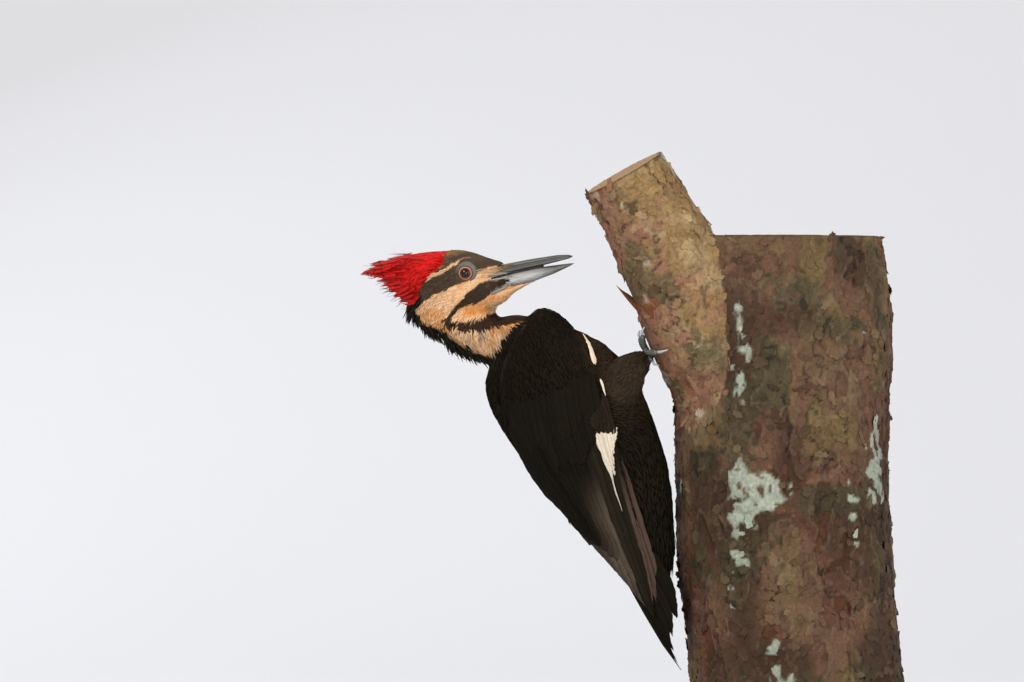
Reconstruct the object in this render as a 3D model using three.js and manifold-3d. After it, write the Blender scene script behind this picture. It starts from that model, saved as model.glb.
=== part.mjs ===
// A female pileated woodpecker, life size, clinging to a short forked length of pine trunk that a
// display stand holds up.
// Millimetres, +Z up. The origin is the middle of the base's underside. The bird's right side faces -Y.
import * as THREE from "three";
import { mergeVertices } from "three/addons/utils/BufferGeometryUtils.js";
import Module from "manifold-3d";

const wasm = await Module();
wasm.setup();

// ---- driving dimensions ----
const GAP = 0.3; // between neighbouring pieces
const rad = THREE.MathUtils.degToRad;

// The top of the back's axis and its lean from upright; the eyes' axis and the bill's upward pitch.
const BODY = { x: -129, z: 331.5, lean: rad(21.3) };
const HEAD = { x: -186.6, z: 371.5, pitch: rad(12.5) };
const EYE = { radius: 6, side: 11.4 };
const WING = { top: -17.4, tip: 215 };
const TAIL = { root: 150, tip: 250, outerTip: 200, pairs: 5, thick: 2.2, notch: 6 };
const BILL = { base: 18, tip: 75.2 };
const TOE = { radius: 1.9, standoff: 2.9 };
const CLAW = { radius: 1.3 };

const TRUNK = { y: 16, bottom: 65, top: 396, radius: 76 };
const BASE = { width: 250, depth: 196, thick: 18, corner: 26, bevel: 2 };
const ROD = { x: 44, radius: 5, spacing: 62, sunk: 10, into: 16 };

// ---- finishes ----
const finish = (colour, roughness, metalness = 0) =>
  new THREE.MeshStandardMaterial({ color: colour, roughness, metalness });
const BLACK_PLUMAGE = finish(0x1d1a17, 0.7);
const CREAM_PLUMAGE = finish(0xe2b987, 0.85);
const RED_PLUMAGE = finish(0xb81414, 0.75);
const BILL_HORN = finish(0x5b5f5e, 0.4);
const PALE_HORN = finish(0xb4bcc0, 0.4);
const EYE_GLOSS = finish(0xb98a55, 0.1);
const FOOT_SKIN = finish(0x4a4d4c, 0.6);
const CLAW_HORN = finish(0x2a2826, 0.4);
const PINE_BARK = finish(0x8a6a50, 0.9);
const BASE_WOOD = finish(0x3a2a20, 0.5);
const ROD_METAL = finish(0x9a9a98, 0.35, 1);

// ---- frames ----
// Body: s runs down the back towards the tail, y to the bird's left, h out of the back.
function onBody(s, y, h) {
  const { x, z, lean } = BODY;
  return new THREE.Vector3(
    x + s * Math.sin(lean) - h * Math.cos(lean),
    y,
    z - s * Math.cos(lean) - h * Math.sin(lean),
  );
}

// Head: f runs forward along the bill, y to the bird's left, n up through the crown.
function onHead(f, y, n) {
  const { x, z, pitch } = HEAD;
  return new THREE.Vector3(
    x + f * Math.cos(pitch) - n * Math.sin(pitch),
    y,
    z + f * Math.sin(pitch) + n * Math.cos(pitch),
  );
}

// ---- shape helpers ----
// A smooth curve y(x) through a few knots, level beyond its ends.
function profile(knots) {
  const slope = knots.map((k, i) => {
    const before = knots[Math.max(i - 1, 0)];
    const after = knots[Math.min(i + 1, knots.length - 1)];
    return (after[1] - before[1]) / (after[0] - before[0]);
  });
  return (x) => {
    if (x <= knots[0][0]) return knots[0][1];
    const i = knots.findIndex((k) => k[0] >= x);
    if (i < 0) return knots.at(-1)[1];
    const width = knots[i][0] - knots[i - 1][0];
    const t = (x - knots[i - 1][0]) / width;
    const a = t * t * (3 - 2 * t);
    return (
      knots[i - 1][1] * (1 - a) +
      knots[i][1] * a +
      slope[i - 1] * width * t * (1 - t) * (1 - t) -
      slope[i] * width * t * t * (1 - t)
    );
  };
}

function manifoldOf(vertProperties, triVerts) {
  return new wasm.Manifold(new wasm.Mesh({ numProp: 3, vertProperties, triVerts }));
}

// The three.js geometry as a solid, its vertices moved by place(x, y, z). Faces end up pointing outwards
// even where place() turns the shape inside out.
function solidOf(geometry, place) {
  const at = geometry.attributes.position;
  for (let i = 0; i < at.count; i++) {
    const p = place(at.getX(i), at.getY(i), at.getZ(i));
    at.setXYZ(i, p.x, p.y, p.z);
  }
  geometry.deleteAttribute("normal");
  geometry.deleteAttribute("uv");
  const merged = mergeVertices(geometry, 1e-4);
  const vertices = merged.attributes.position.array;
  const index = new Uint32Array(merged.index.array);
  const made = manifoldOf(vertices, index);
  return made.volume() > 0 ? made : manifoldOf(vertices, index.reverse());
}

// How a rounded end closes: 0 at either end of 0..1, and 1 between the two ends' shares.
function rounded(t, first, last) {
  const start = Math.min(t / first, 1);
  const end = Math.min((1 - t) / last, 1);
  return Math.sin((start * Math.PI) / 2) * Math.sin((end * Math.PI) / 2);
}

// A closed body of rings from t = 0 to 1. section(t) gives { at, middle, up, down, side }: where the
// ring lies along the body, its centre on the plane of symmetry and its reach each way.
// toFrame puts (along, across, height) in the stand's frame.
function ringBody(around, along, section, toFrame) {
  return solidOf(new THREE.SphereGeometry(1, around, along), (x, y, z) => {
    const t = Math.acos(THREE.MathUtils.clamp(y, -1, 1)) / Math.PI;
    const ring = Math.hypot(x, z);
    const { at, middle, up, down, side } = section(t);
    const across = ring > 1e-6 ? x / ring : 0;
    const height = ring > 1e-6 ? z / ring : 0;
    return toFrame(at, side * across, middle + (height > 0 ? up : down) * height);
  });
}

// A closed limb along a smooth curve through points, its radius given at each of them.
function limb(points, radii, around, along) {
  const curve = new THREE.CatmullRomCurve3(points, false, "centripetal");
  const frames = curve.computeFrenetFrames(along);
  const radius = profile(radii.map((r, i) => [i / (radii.length - 1), r]));
  return solidOf(new THREE.SphereGeometry(1, around, along), (x, y, z) => {
    const polar = Math.acos(THREE.MathUtils.clamp(y, -1, 1));
    const step = Math.round((polar / Math.PI) * along);
    const t = (1 - Math.cos(polar)) / 2;
    const ring = Math.hypot(x, z);
    const r = radius(t) * rounded(step / along, 0.18, 0.18);
    const p = curve.getPoint(t);
    if (ring < 1e-6) return p;
    const i = Math.min(Math.round(t * along), along);
    return p
      .addScaledVector(frames.normals[i], (r * x) / ring)
      .addScaledVector(frames.binormals[i], (r * z) / ring);
  });
}

// The biggest of the lumps that a cut leaves.
function largest(solid) {
  return solid.decompose().reduce((a, b) => (b.volume() > a.volume() ? b : a));
}

function geometryOf(solid) {
  const made = solid.getMesh();
  const geometry = new THREE.BufferGeometry();
  geometry.setAttribute("position", new THREE.BufferAttribute(new Float32Array(made.vertProperties), 3));
  geometry.setIndex(new THREE.BufferAttribute(new Uint32Array(made.triVerts), 1));
  geometry.computeVertexNormals();
  return geometry;
}

// ---- the body's own outlines, in the body frame ----
const backLine = profile([
  [-15, 6], [-8, 28], [2, 52], [10, 55.4], [22, 55.4], [35, 56.2], [60, 53.4], [88, 49],
  [110, 42.3], [131, 35.2], [154, 27.6], [177, 19.8], [215, 6],
]);
const bellyLine = profile([
  [-12, 4], [-3, 13], [6, 21.4], [11, 25.4], [22, 32.9], [36, 39.4], [50, 44], [64, 46],
  [88, 44.8], [108, 44.6], [123, 41.5], [140, 37.5], [158, 31.5], [175, 26], [190, 20],
]);
const flankLine = profile([
  [-15, 24], [0, 37], [15, 43], [40, 45.5], [65, 45], [90, 41.5], [115, 36], [140, 30], [170, 24],
  [190, 20], [215, 13],
]);
const wingThick = profile([[-15, 7], [20, 9], [90, 5.5], [215, 2.2]]);

function bodySolid(grow = 0) {
  const top = -9 - grow;
  const bottom = 182 + grow;
  return ringBody(22, 15, (t) => {
    const s = top + (bottom - top) * (1 - Math.cos(t * Math.PI)) / 2;
    const close = rounded(t, 0.3, 0.14);
    const under = (wingThick(s) + 1) * THREE.MathUtils.smoothstep(s, 60, 110);
    const tail = THREE.MathUtils.smoothstep(s, 140, 185);
    return {
      at: s,
      middle: -6 * tail,
      up: (THREE.MathUtils.lerp(backLine(s) - under, 8, tail) + grow) * close,
      down: (bellyLine(s) - 6 * tail + grow) * close,
      side: (flankLine(s) - wingThick(s) - 0.5 - 3 * tail + grow) * close,
    };
  }, onBody);
}

// The folded wing is a curved plate round the flank: side is -1 for the right wing.
const leadingEdge = profile([
  [-17.4, 0], [-15.8, 4.4], [-13.6, 8], [-11, 10.4], [-3, 15.2], [6, 18.6], [15, 21.8], [32, 21.2],
  [47, 20.6], [66, 18.2], [90, 16.6], [131, 12.4], [173, 8], [205, 3], [215, -2],
]);
const upperEdge = profile([
  [-17.4, 4.6], [-15.6, 10], [-12, 14.6], [-4, 24], [4, 34], [16, 44], [35, 51], [60, 52],
  [88, 48.6], [110, 42], [131, 34.9], [154, 27.2], [177, 19.2], [200, 11.5], [215, 5.5],
]);

function wingPoint(side, s, share, depth) {
  const height = THREE.MathUtils.lerp(-leadingEdge(s), upperEdge(s), share);
  const reach = height > 0 ? backLine(s) + 0.6 : bellyLine(Math.min(s, 150)) + 3;
  const angle = Math.asin(THREE.MathUtils.clamp(height / reach, -0.985, 0.985));
  const fullness = Math.sqrt(Math.max(0.12, Math.sin(Math.PI * (0.04 + 0.92 * share))));
  const inward = depth * wingThick(s) * fullness;
  return onBody(s, side * (flankLine(s) - inward) * Math.cos(angle), height - inward * Math.sin(angle));
}

function wingSolid(side) {
  return solidOf(new THREE.BoxGeometry(1, 1, 1, 17, 6, 1), (x, y, z) => {
    const s = THREE.MathUtils.lerp(WING.top, WING.tip, (x + 0.5) ** 1.5);
    return wingPoint(side, s, y + 0.5, 0.5 - z);
  });
}

// ---- tail: stiff pointed feathers in a deep arch, the middle pair longest ----
const tailRidge = profile([[150, 15], [170, 13], [190, 10.6], [206, 8.4], [230, 4.4], [250, -1]]);
const tailHalf = profile([[150, 15], [170, 21], [190, 25], [215, 24], [250, 11]]);
const tailArch = profile([[150, 15], [170, 27], [190, 28], [214, 25], [232, 15], [250, 4]]);

function tailSolid() {
  const { root, tip, outerTip, pairs, thick, notch } = TAIL;
  return solidOf(new THREE.BoxGeometry(1, 1, 1, 9, 4 * pairs + 2, 1), (x, y, z) => {
    const share = Math.abs(y * 2); // 0 on the ridge, 1 at the outer edge
    const offShaft = Math.abs(((share * (pairs + 0.5) + 0.5) % 1) - 0.5) * 2; // 1 between feathers
    const end = THREE.MathUtils.lerp(tip, outerTip, share ** 1.4) - notch * offShaft;
    const s = THREE.MathUtils.lerp(root, end, x + 0.5);
    const body = thick * (1 - 0.45 * (x + 0.5));
    return onBody(s, y * 2 * tailHalf(s), tailRidge(s) - tailArch(s) * share ** 1.7 + (z - 0.5) * body);
  });
}

// ---- neck and head ----
const NECK_PATH = [
  [-200.8, 350.5], [-189.8, 337], [-172.5, 326.7], [-158, 323.2], [-138, 316], [-122, 300],
];
const NECK_DEPTH = [21, 20.5, 19.5, 22.5, 27, 27];
const NECK_WIDTH = [16.5, 16.3, 16, 19, 24, 26];

function neckSolid(grow = 0) {
  const curve = new THREE.CatmullRomCurve3(
    NECK_PATH.map(([x, z]) => new THREE.Vector3(x, 0, z)), false, "centripetal");
  const ends = (values) => profile(values.map((r, i) => [i / (values.length - 1), r]));
  const depth = ends(NECK_DEPTH);
  const width = ends(NECK_WIDTH);
  return solidOf(new THREE.SphereGeometry(1, 18, 10), (x, y, z) => {
    const polar = Math.acos(THREE.MathUtils.clamp(y, -1, 1));
    const t = (1 - Math.cos(polar)) / 2;
    const ring = Math.hypot(x, z);
    const p = curve.getPoint(t);
    if (ring < 1e-6) return p;
    const along = curve.getTangent(t);
    const close = rounded(polar / Math.PI, 0.3, 0.3);
    const front = new THREE.Vector3(-along.z, 0, along.x);
    return p
      .addScaledVector(front, ((depth(t) + grow) * close * z) / ring)
      .add(new THREE.Vector3(0, ((width(t) + grow) * close * x) / ring, 0));
  });
}

const crown = profile([
  [-44, -17], [-38, -5], [-30, 5.5], [-20, 13], [-9, 17.6], [0, 16.4], [8, 13.2], [13, 10.2],
  [19, 6.2], [28, 1.2], [31, 0.4],
]);
const jaw = profile([
  [-44, -24], [-38, -32], [-30, -37.5], [-18, -39.5], [-4, -37.5], [6, -34.5], [13, -31],
  [19, -26], [26, -19], [31, -15],
]);
const cheek = profile([
  [-44, 8], [-38, 13], [-30, 16.4], [-20, 18.4], [-9, 18.4], [0, 16.8], [8, 14.4], [13, 12],
  [19, 9.2], [26, 7.2], [31, 6],
]);

function skullSolid(grow = 0) {
  return ringBody(22, 14, (t) => {
    const f = THREE.MathUtils.lerp(-44 - grow, 31 + grow, (1 - Math.cos(t * Math.PI)) / 2);
    const close = rounded(t, 0.26, 0.14);
    const middle = THREE.MathUtils.lerp(-9, -11, t);
    return {
      at: f,
      middle,
      up: (crown(f) - middle + grow) * close,
      down: (middle - jaw(f) + grow) * close,
      side: (cheek(f) + grow) * close,
    };
  }, onHead);
}

// The feathered chin runs forward between the two sides of the lower bill.
function chinSolid() {
  const under = profile([[8, -33], [13, -31.8], [19, -28.2], [26, -23.8], [33.3, -20.3], [47, -16.6]]);
  return ringBody(12, 7, (t) => {
    const f = THREE.MathUtils.lerp(6, 48, (1 - Math.cos(t * Math.PI)) / 2);
    const close = rounded(t, 0.3, 0.2);
    const middle = THREE.MathUtils.lerp(-20, -15.4, t);
    return {
      at: f,
      middle,
      up: 3 * close,
      down: (middle - under(f)) * close,
      side: THREE.MathUtils.lerp(11, 2.6, Math.min(1, (f - 6) / 38)) * close,
    };
  }, onHead);
}

function crestSolid() {
  const top = profile([
    [-72, 14.5], [-66, 18.2], [-50, 20.6], [-35, 21.4], [-22, 20.4], [-9, 18.6], [-6, 17.9],
  ]);
  const bottom = profile([
    [-72, 13.5], [-66, 11], [-60, 7.5], [-55, -1], [-49, -9.5], [-42, -13.6], [-34, -11],
    [-28, -2], [-20, 3.5], [-9, 12], [-6, 15],
  ]);
  const side = profile([
    [-72, 0.8], [-60, 3.2], [-50, 7], [-40, 13], [-30, 17], [-20, 17], [-9, 12], [-6, 9],
  ]);
  return ringBody(18, 12, (t) => {
    const f = THREE.MathUtils.lerp(-72, -6, (1 - Math.cos(t * Math.PI)) / 2);
    const close = rounded(t, 0.12, 0.18);
    const middle = (top(f) + bottom(f)) / 2;
    const half = (top(f) - bottom(f)) / 2;
    return { at: f, middle, up: half * close, down: half * close, side: side(f) * close };
  }, onHead);
}

// ---- bill: a straight chisel, slightly open ----
function billSolid(upper, lower, side, from, to) {
  return ringBody(12, 9, (t) => {
    const f = THREE.MathUtils.lerp(from, to, (1 - Math.cos(t * Math.PI)) / 2);
    const close = rounded(t, 0.1, 0.16);
    const middle = (upper(f) + lower(f)) / 2;
    const half = (upper(f) - lower(f)) / 2;
    return { at: f, middle, up: half * close, down: half * close, side: side(f) * close };
  }, onHead);
}

const culmen = profile([[16, -1], [28, -0.7], [47, -1.3], [64.5, -2.5], [75, -4.4]]);
const upperCutting = profile([[16, -6.8], [40, -6.9], [75, -6.3]]);
const lowerCutting = profile([[16, -7.8], [46, -9.1], [75, -10]]);
const gonys = profile([[16, -17.6], [30, -17.4], [47, -16.3], [60, -14.4], [68, -12.6], [75, -10.8]]);
const upperWidth = profile([[16, 7.2], [30, 6.4], [55, 3.6], [75, 1.5]]);
const lowerWidth = profile([[16, 7], [30, 6], [55, 3.2], [75, 1.2]]);

// The space that one half of the bill needs: outer is its ridge, inner its cutting edge, and out is
// 1 where the ridge is above.
function roomRound(outer, inner, side, out) {
  const edges = [(f) => outer(f) + out * GAP, (f) => inner(f) - out * 0.1];
  const [upper, lower] = out > 0 ? edges : edges.reverse();
  return billSolid(upper, lower, (f) => side(f) + GAP, BILL.base - 0.4, BILL.tip + 0.4);
}

function eyeSolid(side, grow = 0) {
  const middle = onHead(0, side * EYE.side, 0);
  return solidOf(new THREE.SphereGeometry(EYE.radius + grow, 12, 8), (x, y, z) =>
    new THREE.Vector3(x, y, z).add(middle));
}

// ---- perch: a length of trunk with the stub of a branch that leaves it on the bird's side ----
const BRANCH_AXIS = [
  [28, 6, 205], [6.9, 0, 262.5], [-13.8, -6, 307.4],
  [-29.7, -12, 346], [-41.9, -16, 374.3], [-78, -23, 439],
].map((p) => new THREE.Vector3(...p));
const branchCurve = new THREE.CatmullRomCurve3(BRANCH_AXIS, false, "centripetal");
const branchRadius = profile([[0, 36], [0.2, 36.5], [0.4, 37], [0.6, 38], [0.8, 36.5], [1, 31]]);
const trunkFace = profile([
  [65, -31.5], [104, -34], [138, -36.5], [165, -39.5], [200, -42], [262, -42.8], [330, -45],
  [396, -50],
]);

// Slow waves that make the wood uneven, as a share of its radius.
function uneven(angle, along, seed) {
  return (
    0.035 * Math.sin(2 * angle + seed + along * 3.1) +
    0.025 * Math.sin(3 * angle - seed * 1.7 - along * 5.3) +
    0.015 * Math.sin(5 * angle + along * 9)
  );
}

function branchPoint(t, angle, reach) {
  const along = branchCurve.getTangent(t);
  const front = new THREE.Vector3(0, -1, 0).addScaledVector(along, along.y).normalize();
  const left = new THREE.Vector3().crossVectors(front, along).normalize();
  const radius = branchRadius(t);
  return branchCurve
    .getPoint(t)
    .addScaledVector(left, Math.cos(angle) * (radius + reach))
    .addScaledVector(front, Math.sin(angle) * (radius + reach));
}

function branchWood() {
  return solidOf(new THREE.CylinderGeometry(1, 1, 1, 20, 8), (x, y, z) => {
    const t = y + 0.5;
    const rim = branchPoint(t, Math.atan2(z, x), 0);
    return branchCurve.getPoint(t).lerp(rim, Math.hypot(x, z));
  });
}

function trunkWood() {
  return solidOf(new THREE.CylinderGeometry(1, 1, 1, 26, 8), (x, y, z) => {
    const level = THREE.MathUtils.lerp(TRUNK.bottom, TRUNK.top, y + 0.5);
    const angle = Math.atan2(z, x);
    const away = (1 + Math.cos(angle)) / 2; // 0 on the face that the bird uses
    const r = TRUNK.radius * (1 + uneven(angle, y, 1) * away) * Math.hypot(x, z);
    const middle = trunkFace(level) + TRUNK.radius;
    return new THREE.Vector3(middle + r * Math.cos(angle), TRUNK.y + r * Math.sin(angle), level);
  });
}

// ---- legs ----
// A foot's hub and the ends of its toes are places on the branch: steps along it, and angles round it.
const FEET = {
  right: { side: -1, t: 0.53, angle: 0.1, ankle: [43, -15, -53] },
  left: { side: 1, t: 0.5, angle: -0.62, ankle: [48, 16, -50] },
};
const TOES = [
  { name: "inner_front", along: 0.05, round: -0.06, width: 1 },
  { name: "outer_front", along: 0.062, round: 0.2, width: 1.05 },
  { name: "outer_side", along: -0.004, round: 0.46, width: 1 },
  { name: "rear", along: -0.036, round: 0.16, width: 0.8 },
];

function footTools(wood) {
  const bark = new THREE.Mesh(geometryOf(wood));
  const ray = new THREE.Raycaster();

  // The place above the bark that faces the branch's axis from the given step and angle.
  function overBark(t, angle, standoff) {
    const outside = branchPoint(t, angle, 60);
    const inward = branchCurve.getPoint(t).sub(outside).normalize();
    ray.set(outside, inward);
    const [hit] = ray.intersectObject(bark);
    return hit.point.addScaledVector(inward, -standoff);
  }

  function toePath(foot, toe) {
    return [0, 0.33, 0.67, 1].map((k) => overBark(
      foot.t + toe.along * k,
      foot.angle - foot.side * toe.round * k,
      TOE.standoff + 1.3 * Math.sin(Math.PI * k),
    ));
  }

  function clawPath(foot, toe) {
    const reach = [1, 1.16, 1.34, 1.5];
    const rise = [TOE.standoff, TOE.standoff + 0.7, TOE.standoff - 0.3, 0.9];
    return reach.map((k, i) =>
      overBark(foot.t + toe.along * k, foot.angle - foot.side * toe.round * k, rise[i]));
  }

  function shin(foot, grow) {
    const hub = overBark(foot.t, foot.angle, TOE.standoff);
    const ankle = onBody(...foot.ankle);
    return limb([ankle, ankle.clone().lerp(hub, 0.5), hub], [2.8, 2.3, 2.6].map((r) => r + grow), 8, 6);
  }

  function footSolid(foot, grow = 0) {
    return TOES.reduce((solid, toe) => {
      const r = TOE.radius * toe.width + grow;
      return solid.add(limb(toePath(foot, toe), [r * 1.15, r * 1.05, r, r * 0.9], 7, 6));
    }, shin(foot, grow));
  }

  function clawSolid(foot, toe) {
    const { radius } = CLAW;
    return limb(clawPath(foot, toe), [radius, radius * 0.9, radius * 0.65, 0.4], 6, 6);
  }

  return { footSolid, clawSolid };
}

function thighSolid(foot, grow = 0) {
  const { side, ankle } = foot;
  const [s, y, h] = ankle;
  const hip = onBody(s + 18, side * 22, -20);
  const knee = onBody(s + 4, (y + side * 22) / 2, h * 0.76);
  return limb([hip, knee, onBody(...ankle)], [17, 14, 7].map((r) => r + grow), 12, 8);
}

// ---- stand ----
function baseSolid() {
  const { width, depth, thick, corner, bevel } = BASE;
  const outline = new THREE.Shape();
  const x = width / 2 - corner - bevel;
  const y = depth / 2 - corner - bevel;
  [[x, y, 0], [-x, y, 90], [-x, -y, 180], [x, -y, 270]].forEach(([cx, cy, start]) =>
    outline.absarc(cx, cy, corner, rad(start), rad(start + 90), false));
  const slab = new THREE.ExtrudeGeometry(outline, {
    depth: thick - 2 * bevel,
    bevelThickness: bevel,
    bevelSize: bevel,
    bevelSegments: 1,
    curveSegments: 4,
  });
  return solidOf(slab, (px, py, pz) => new THREE.Vector3(px, py, pz + bevel));
}

function rodSolid(x, grow = 0) {
  const from = BASE.thick - ROD.sunk + (grow ? -GAP : 0);
  const to = TRUNK.bottom + ROD.into + (grow ? GAP : 0);
  const bar = new THREE.CylinderGeometry(ROD.radius + grow, ROD.radius + grow, to - from, 16);
  return solidOf(bar, (px, py, pz) => new THREE.Vector3(x + px, TRUNK.y + pz, (from + to) / 2 + py));
}

// ---- assembly ----
const model = new THREE.Group();

function addPiece(group, name, solid, material) {
  const mesh = new THREE.Mesh(geometryOf(largest(solid)), material);
  mesh.name = name;
  group.add(mesh);
}

const stand = new THREE.Group();
const rods = [ROD.x - ROD.spacing / 2, ROD.x + ROD.spacing / 2];
const rodHoles = rods.map((x) => rodSolid(x, GAP)).reduce((a, b) => a.add(b));
addPiece(stand, "stand_base", baseSolid().subtract(rodHoles), BASE_WOOD);
rods.forEach((x, i) => addPiece(stand, `stand_rod_${i + 1}`, rodSolid(x), ROD_METAL));

const wood = trunkWood().add(branchWood()).subtract(rodHoles);
addPiece(stand, "perch", wood, PINE_BARK);

const bird = new THREE.Group();
const eyes = [["right", -1], ["left", 1]];
const skull = skullSolid().add(chinSolid());
const bill = billSolid(culmen, upperCutting, upperWidth, BILL.base, BILL.tip);
const lowerBill = billSolid(lowerCutting, gonys, lowerWidth, BILL.base, BILL.tip);
const billRoom = roomRound(culmen, upperCutting, upperWidth, 1)
  .add(roomRound(gonys, lowerCutting, lowerWidth, -1));
const skullAndChin = skull.subtract(billRoom);
const head = eyes.reduce((solid, [, side]) => solid.subtract(eyeSolid(side, GAP)), skullAndChin);
const headRoom = skullSolid(GAP).add(skull);
const neck = neckSolid().subtract(headRoom).subtract(billRoom);
const neckRoom = neckSolid(GAP);
const body = bodySolid().subtract(neckRoom);
const bodyRoom = bodySolid(GAP).add(neckRoom);

addPiece(bird, "bill_upper", bill, BILL_HORN);
addPiece(bird, "bill_lower", lowerBill, PALE_HORN);
addPiece(bird, "head", head, CREAM_PLUMAGE);
addPiece(bird, "crest", crestSolid().subtract(headRoom).subtract(neckRoom), RED_PLUMAGE);
addPiece(bird, "neck", neck, CREAM_PLUMAGE);
addPiece(bird, "body", body, BLACK_PLUMAGE);
eyes.forEach(([name, side]) => addPiece(bird, `eye_${name}`, eyeSolid(side), EYE_GLOSS));

const { footSolid, clawSolid } = footTools(wood);
Object.entries(FEET).forEach(([name, foot]) => {
  const footRoom = footSolid(foot, GAP);
  addPiece(bird, `leg_${name}`, thighSolid(foot).subtract(bodyRoom).subtract(footRoom), BLACK_PLUMAGE);
  addPiece(bird, `foot_${name}`, footSolid(foot).subtract(bodyRoom), FOOT_SKIN);
  TOES.forEach((toe) =>
    addPiece(bird, `claw_${name}_${toe.name}`, clawSolid(foot, toe).subtract(footRoom), CLAW_HORN));
});

const wings = eyes.map(([, side]) => wingSolid(side).subtract(bodyRoom));
eyes.forEach(([name], i) => addPiece(bird, `wing_${name}`, wings[i], BLACK_PLUMAGE));
addPiece(bird, "tail", tailSolid().subtract(bodyRoom).subtract(wings[0].add(wings[1])), BLACK_PLUMAGE);

model.add(stand, bird);
export default model;
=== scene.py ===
import math

import bmesh
import bpy
import numpy as np
from bpy.props import FloatProperty, FloatVectorProperty, IntProperty, PointerProperty
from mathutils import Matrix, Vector
from mathutils.bvhtree import BVHTree


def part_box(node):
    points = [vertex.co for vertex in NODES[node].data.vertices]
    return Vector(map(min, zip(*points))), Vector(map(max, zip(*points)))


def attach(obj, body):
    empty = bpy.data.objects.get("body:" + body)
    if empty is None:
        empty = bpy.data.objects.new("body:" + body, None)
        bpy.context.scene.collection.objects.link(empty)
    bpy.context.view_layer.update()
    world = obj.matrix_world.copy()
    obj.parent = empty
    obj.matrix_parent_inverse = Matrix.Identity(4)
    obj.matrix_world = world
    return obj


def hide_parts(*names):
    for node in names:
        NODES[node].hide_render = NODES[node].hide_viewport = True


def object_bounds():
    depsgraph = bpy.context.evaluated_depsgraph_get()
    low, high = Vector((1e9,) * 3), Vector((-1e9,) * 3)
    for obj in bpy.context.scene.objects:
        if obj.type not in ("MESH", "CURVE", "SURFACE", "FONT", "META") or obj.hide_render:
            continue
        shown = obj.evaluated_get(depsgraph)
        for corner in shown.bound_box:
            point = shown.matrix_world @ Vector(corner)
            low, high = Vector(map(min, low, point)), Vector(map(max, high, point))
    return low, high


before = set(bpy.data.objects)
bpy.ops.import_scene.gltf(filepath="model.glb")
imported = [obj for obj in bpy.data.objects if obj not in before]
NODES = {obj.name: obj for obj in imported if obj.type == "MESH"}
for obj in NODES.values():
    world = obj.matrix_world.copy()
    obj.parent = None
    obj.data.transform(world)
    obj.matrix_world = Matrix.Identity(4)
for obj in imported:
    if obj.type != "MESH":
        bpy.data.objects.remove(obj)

bl_info = {
    "name": "Pileated Woodpecker",
    "version": (1, 0, 0),
    "blender": (4, 5, 0),
    "location": "View3D > Sidebar > Woodpecker",
    "description": "Finishes a woodpecker display model: skin, plumage, bill, eyes, feet, perch and stand",
    "category": "Object",
}

MM = 0.001
SIDES = (("right", -1), ("left", 1))
CAD_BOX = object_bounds()

# The two frames that the bird is measured in: the head's starts between the eyes, with f forward
# along the bill and n up through the crown; the back's starts between the shoulders, with s down
# the back towards the tail and h out of it. Both take y to the bird's left, and both are in mm.
EYE_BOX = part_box("eye_right")
HEAD_X = (EYE_BOX[0].x + EYE_BOX[1].x) / 2 / MM
HEAD_Z = (EYE_BOX[0].z + EYE_BOX[1].z) / 2 / MM
HEAD_PITCH = math.radians(12.5)
BACK_X = -129.0
BACK_Z = 331.5
BACK_LEAN = math.radians(21.3)


def on_head(f, y, n):
    x = HEAD_X + f * math.cos(HEAD_PITCH) - n * math.sin(HEAD_PITCH)
    z = HEAD_Z + f * math.sin(HEAD_PITCH) + n * math.cos(HEAD_PITCH)
    return np.stack(np.broadcast_arrays(x, y, z), axis=-1) * MM


def on_back(s, y, h):
    x = BACK_X + s * math.sin(BACK_LEAN) - h * math.cos(BACK_LEAN)
    z = BACK_Z - s * math.cos(BACK_LEAN) - h * math.sin(BACK_LEAN)
    return np.stack(np.broadcast_arrays(x, y, z), axis=-1) * MM


def head_way(f, y, n):
    return (on_head(f, y, n) - on_head(0, 0, 0)) / MM


def back_way(s, y, h):
    return (on_back(s, y, h) - on_back(0, 0, 0)) / MM


def head_view(points):
    x = points[:, 0] / MM - HEAD_X
    z = points[:, 2] / MM - HEAD_Z
    f = x * math.cos(HEAD_PITCH) + z * math.sin(HEAD_PITCH)
    n = z * math.cos(HEAD_PITCH) - x * math.sin(HEAD_PITCH)
    return f, points[:, 1] / MM, n


def back_view(points):
    x = points[:, 0] / MM - BACK_X
    z = points[:, 2] / MM - BACK_Z
    s = x * math.sin(BACK_LEAN) - z * math.cos(BACK_LEAN)
    h = -x * math.cos(BACK_LEAN) - z * math.sin(BACK_LEAN)
    return s, points[:, 1] / MM, h


# ---------------------------------------------------------------- small arithmetic


def unit(vectors):
    length = np.linalg.norm(vectors, axis=-1, keepdims=True)
    return vectors / np.maximum(length, 1e-12)


def along(value, *knots):
    """Straight lines through (place, value) knots, flat past both ends."""
    knots = sorted(knots)
    return np.interp(value, [k[0] for k in knots], [k[1] for k in knots])


def step(value, start, end):
    t = np.clip((value - start) / (end - start), 0, 1)
    return t * t * (3 - 2 * t)


def linear(colour):
    colour = np.asarray(colour, float)
    return np.where(colour <= 0.04045, colour / 12.92, ((colour + 0.055) / 1.055) ** 2.4)


def noise(points, size, seed=0):
    """Smooth noise between -1 and 1, with hills about size metres apart."""
    scaled = points / size
    cell = np.floor(scaled).astype(np.int64)
    part = scaled - cell
    part = part * part * (3 - 2 * part)
    total = 0
    for corner in range(8):
        shift = np.array([corner & 1, corner >> 1 & 1, corner >> 2])
        weight = np.prod(np.where(shift, part, 1 - part), axis=1)
        total = total + weight * chance(cell + shift, seed)
    return total * 2 - 1


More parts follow.
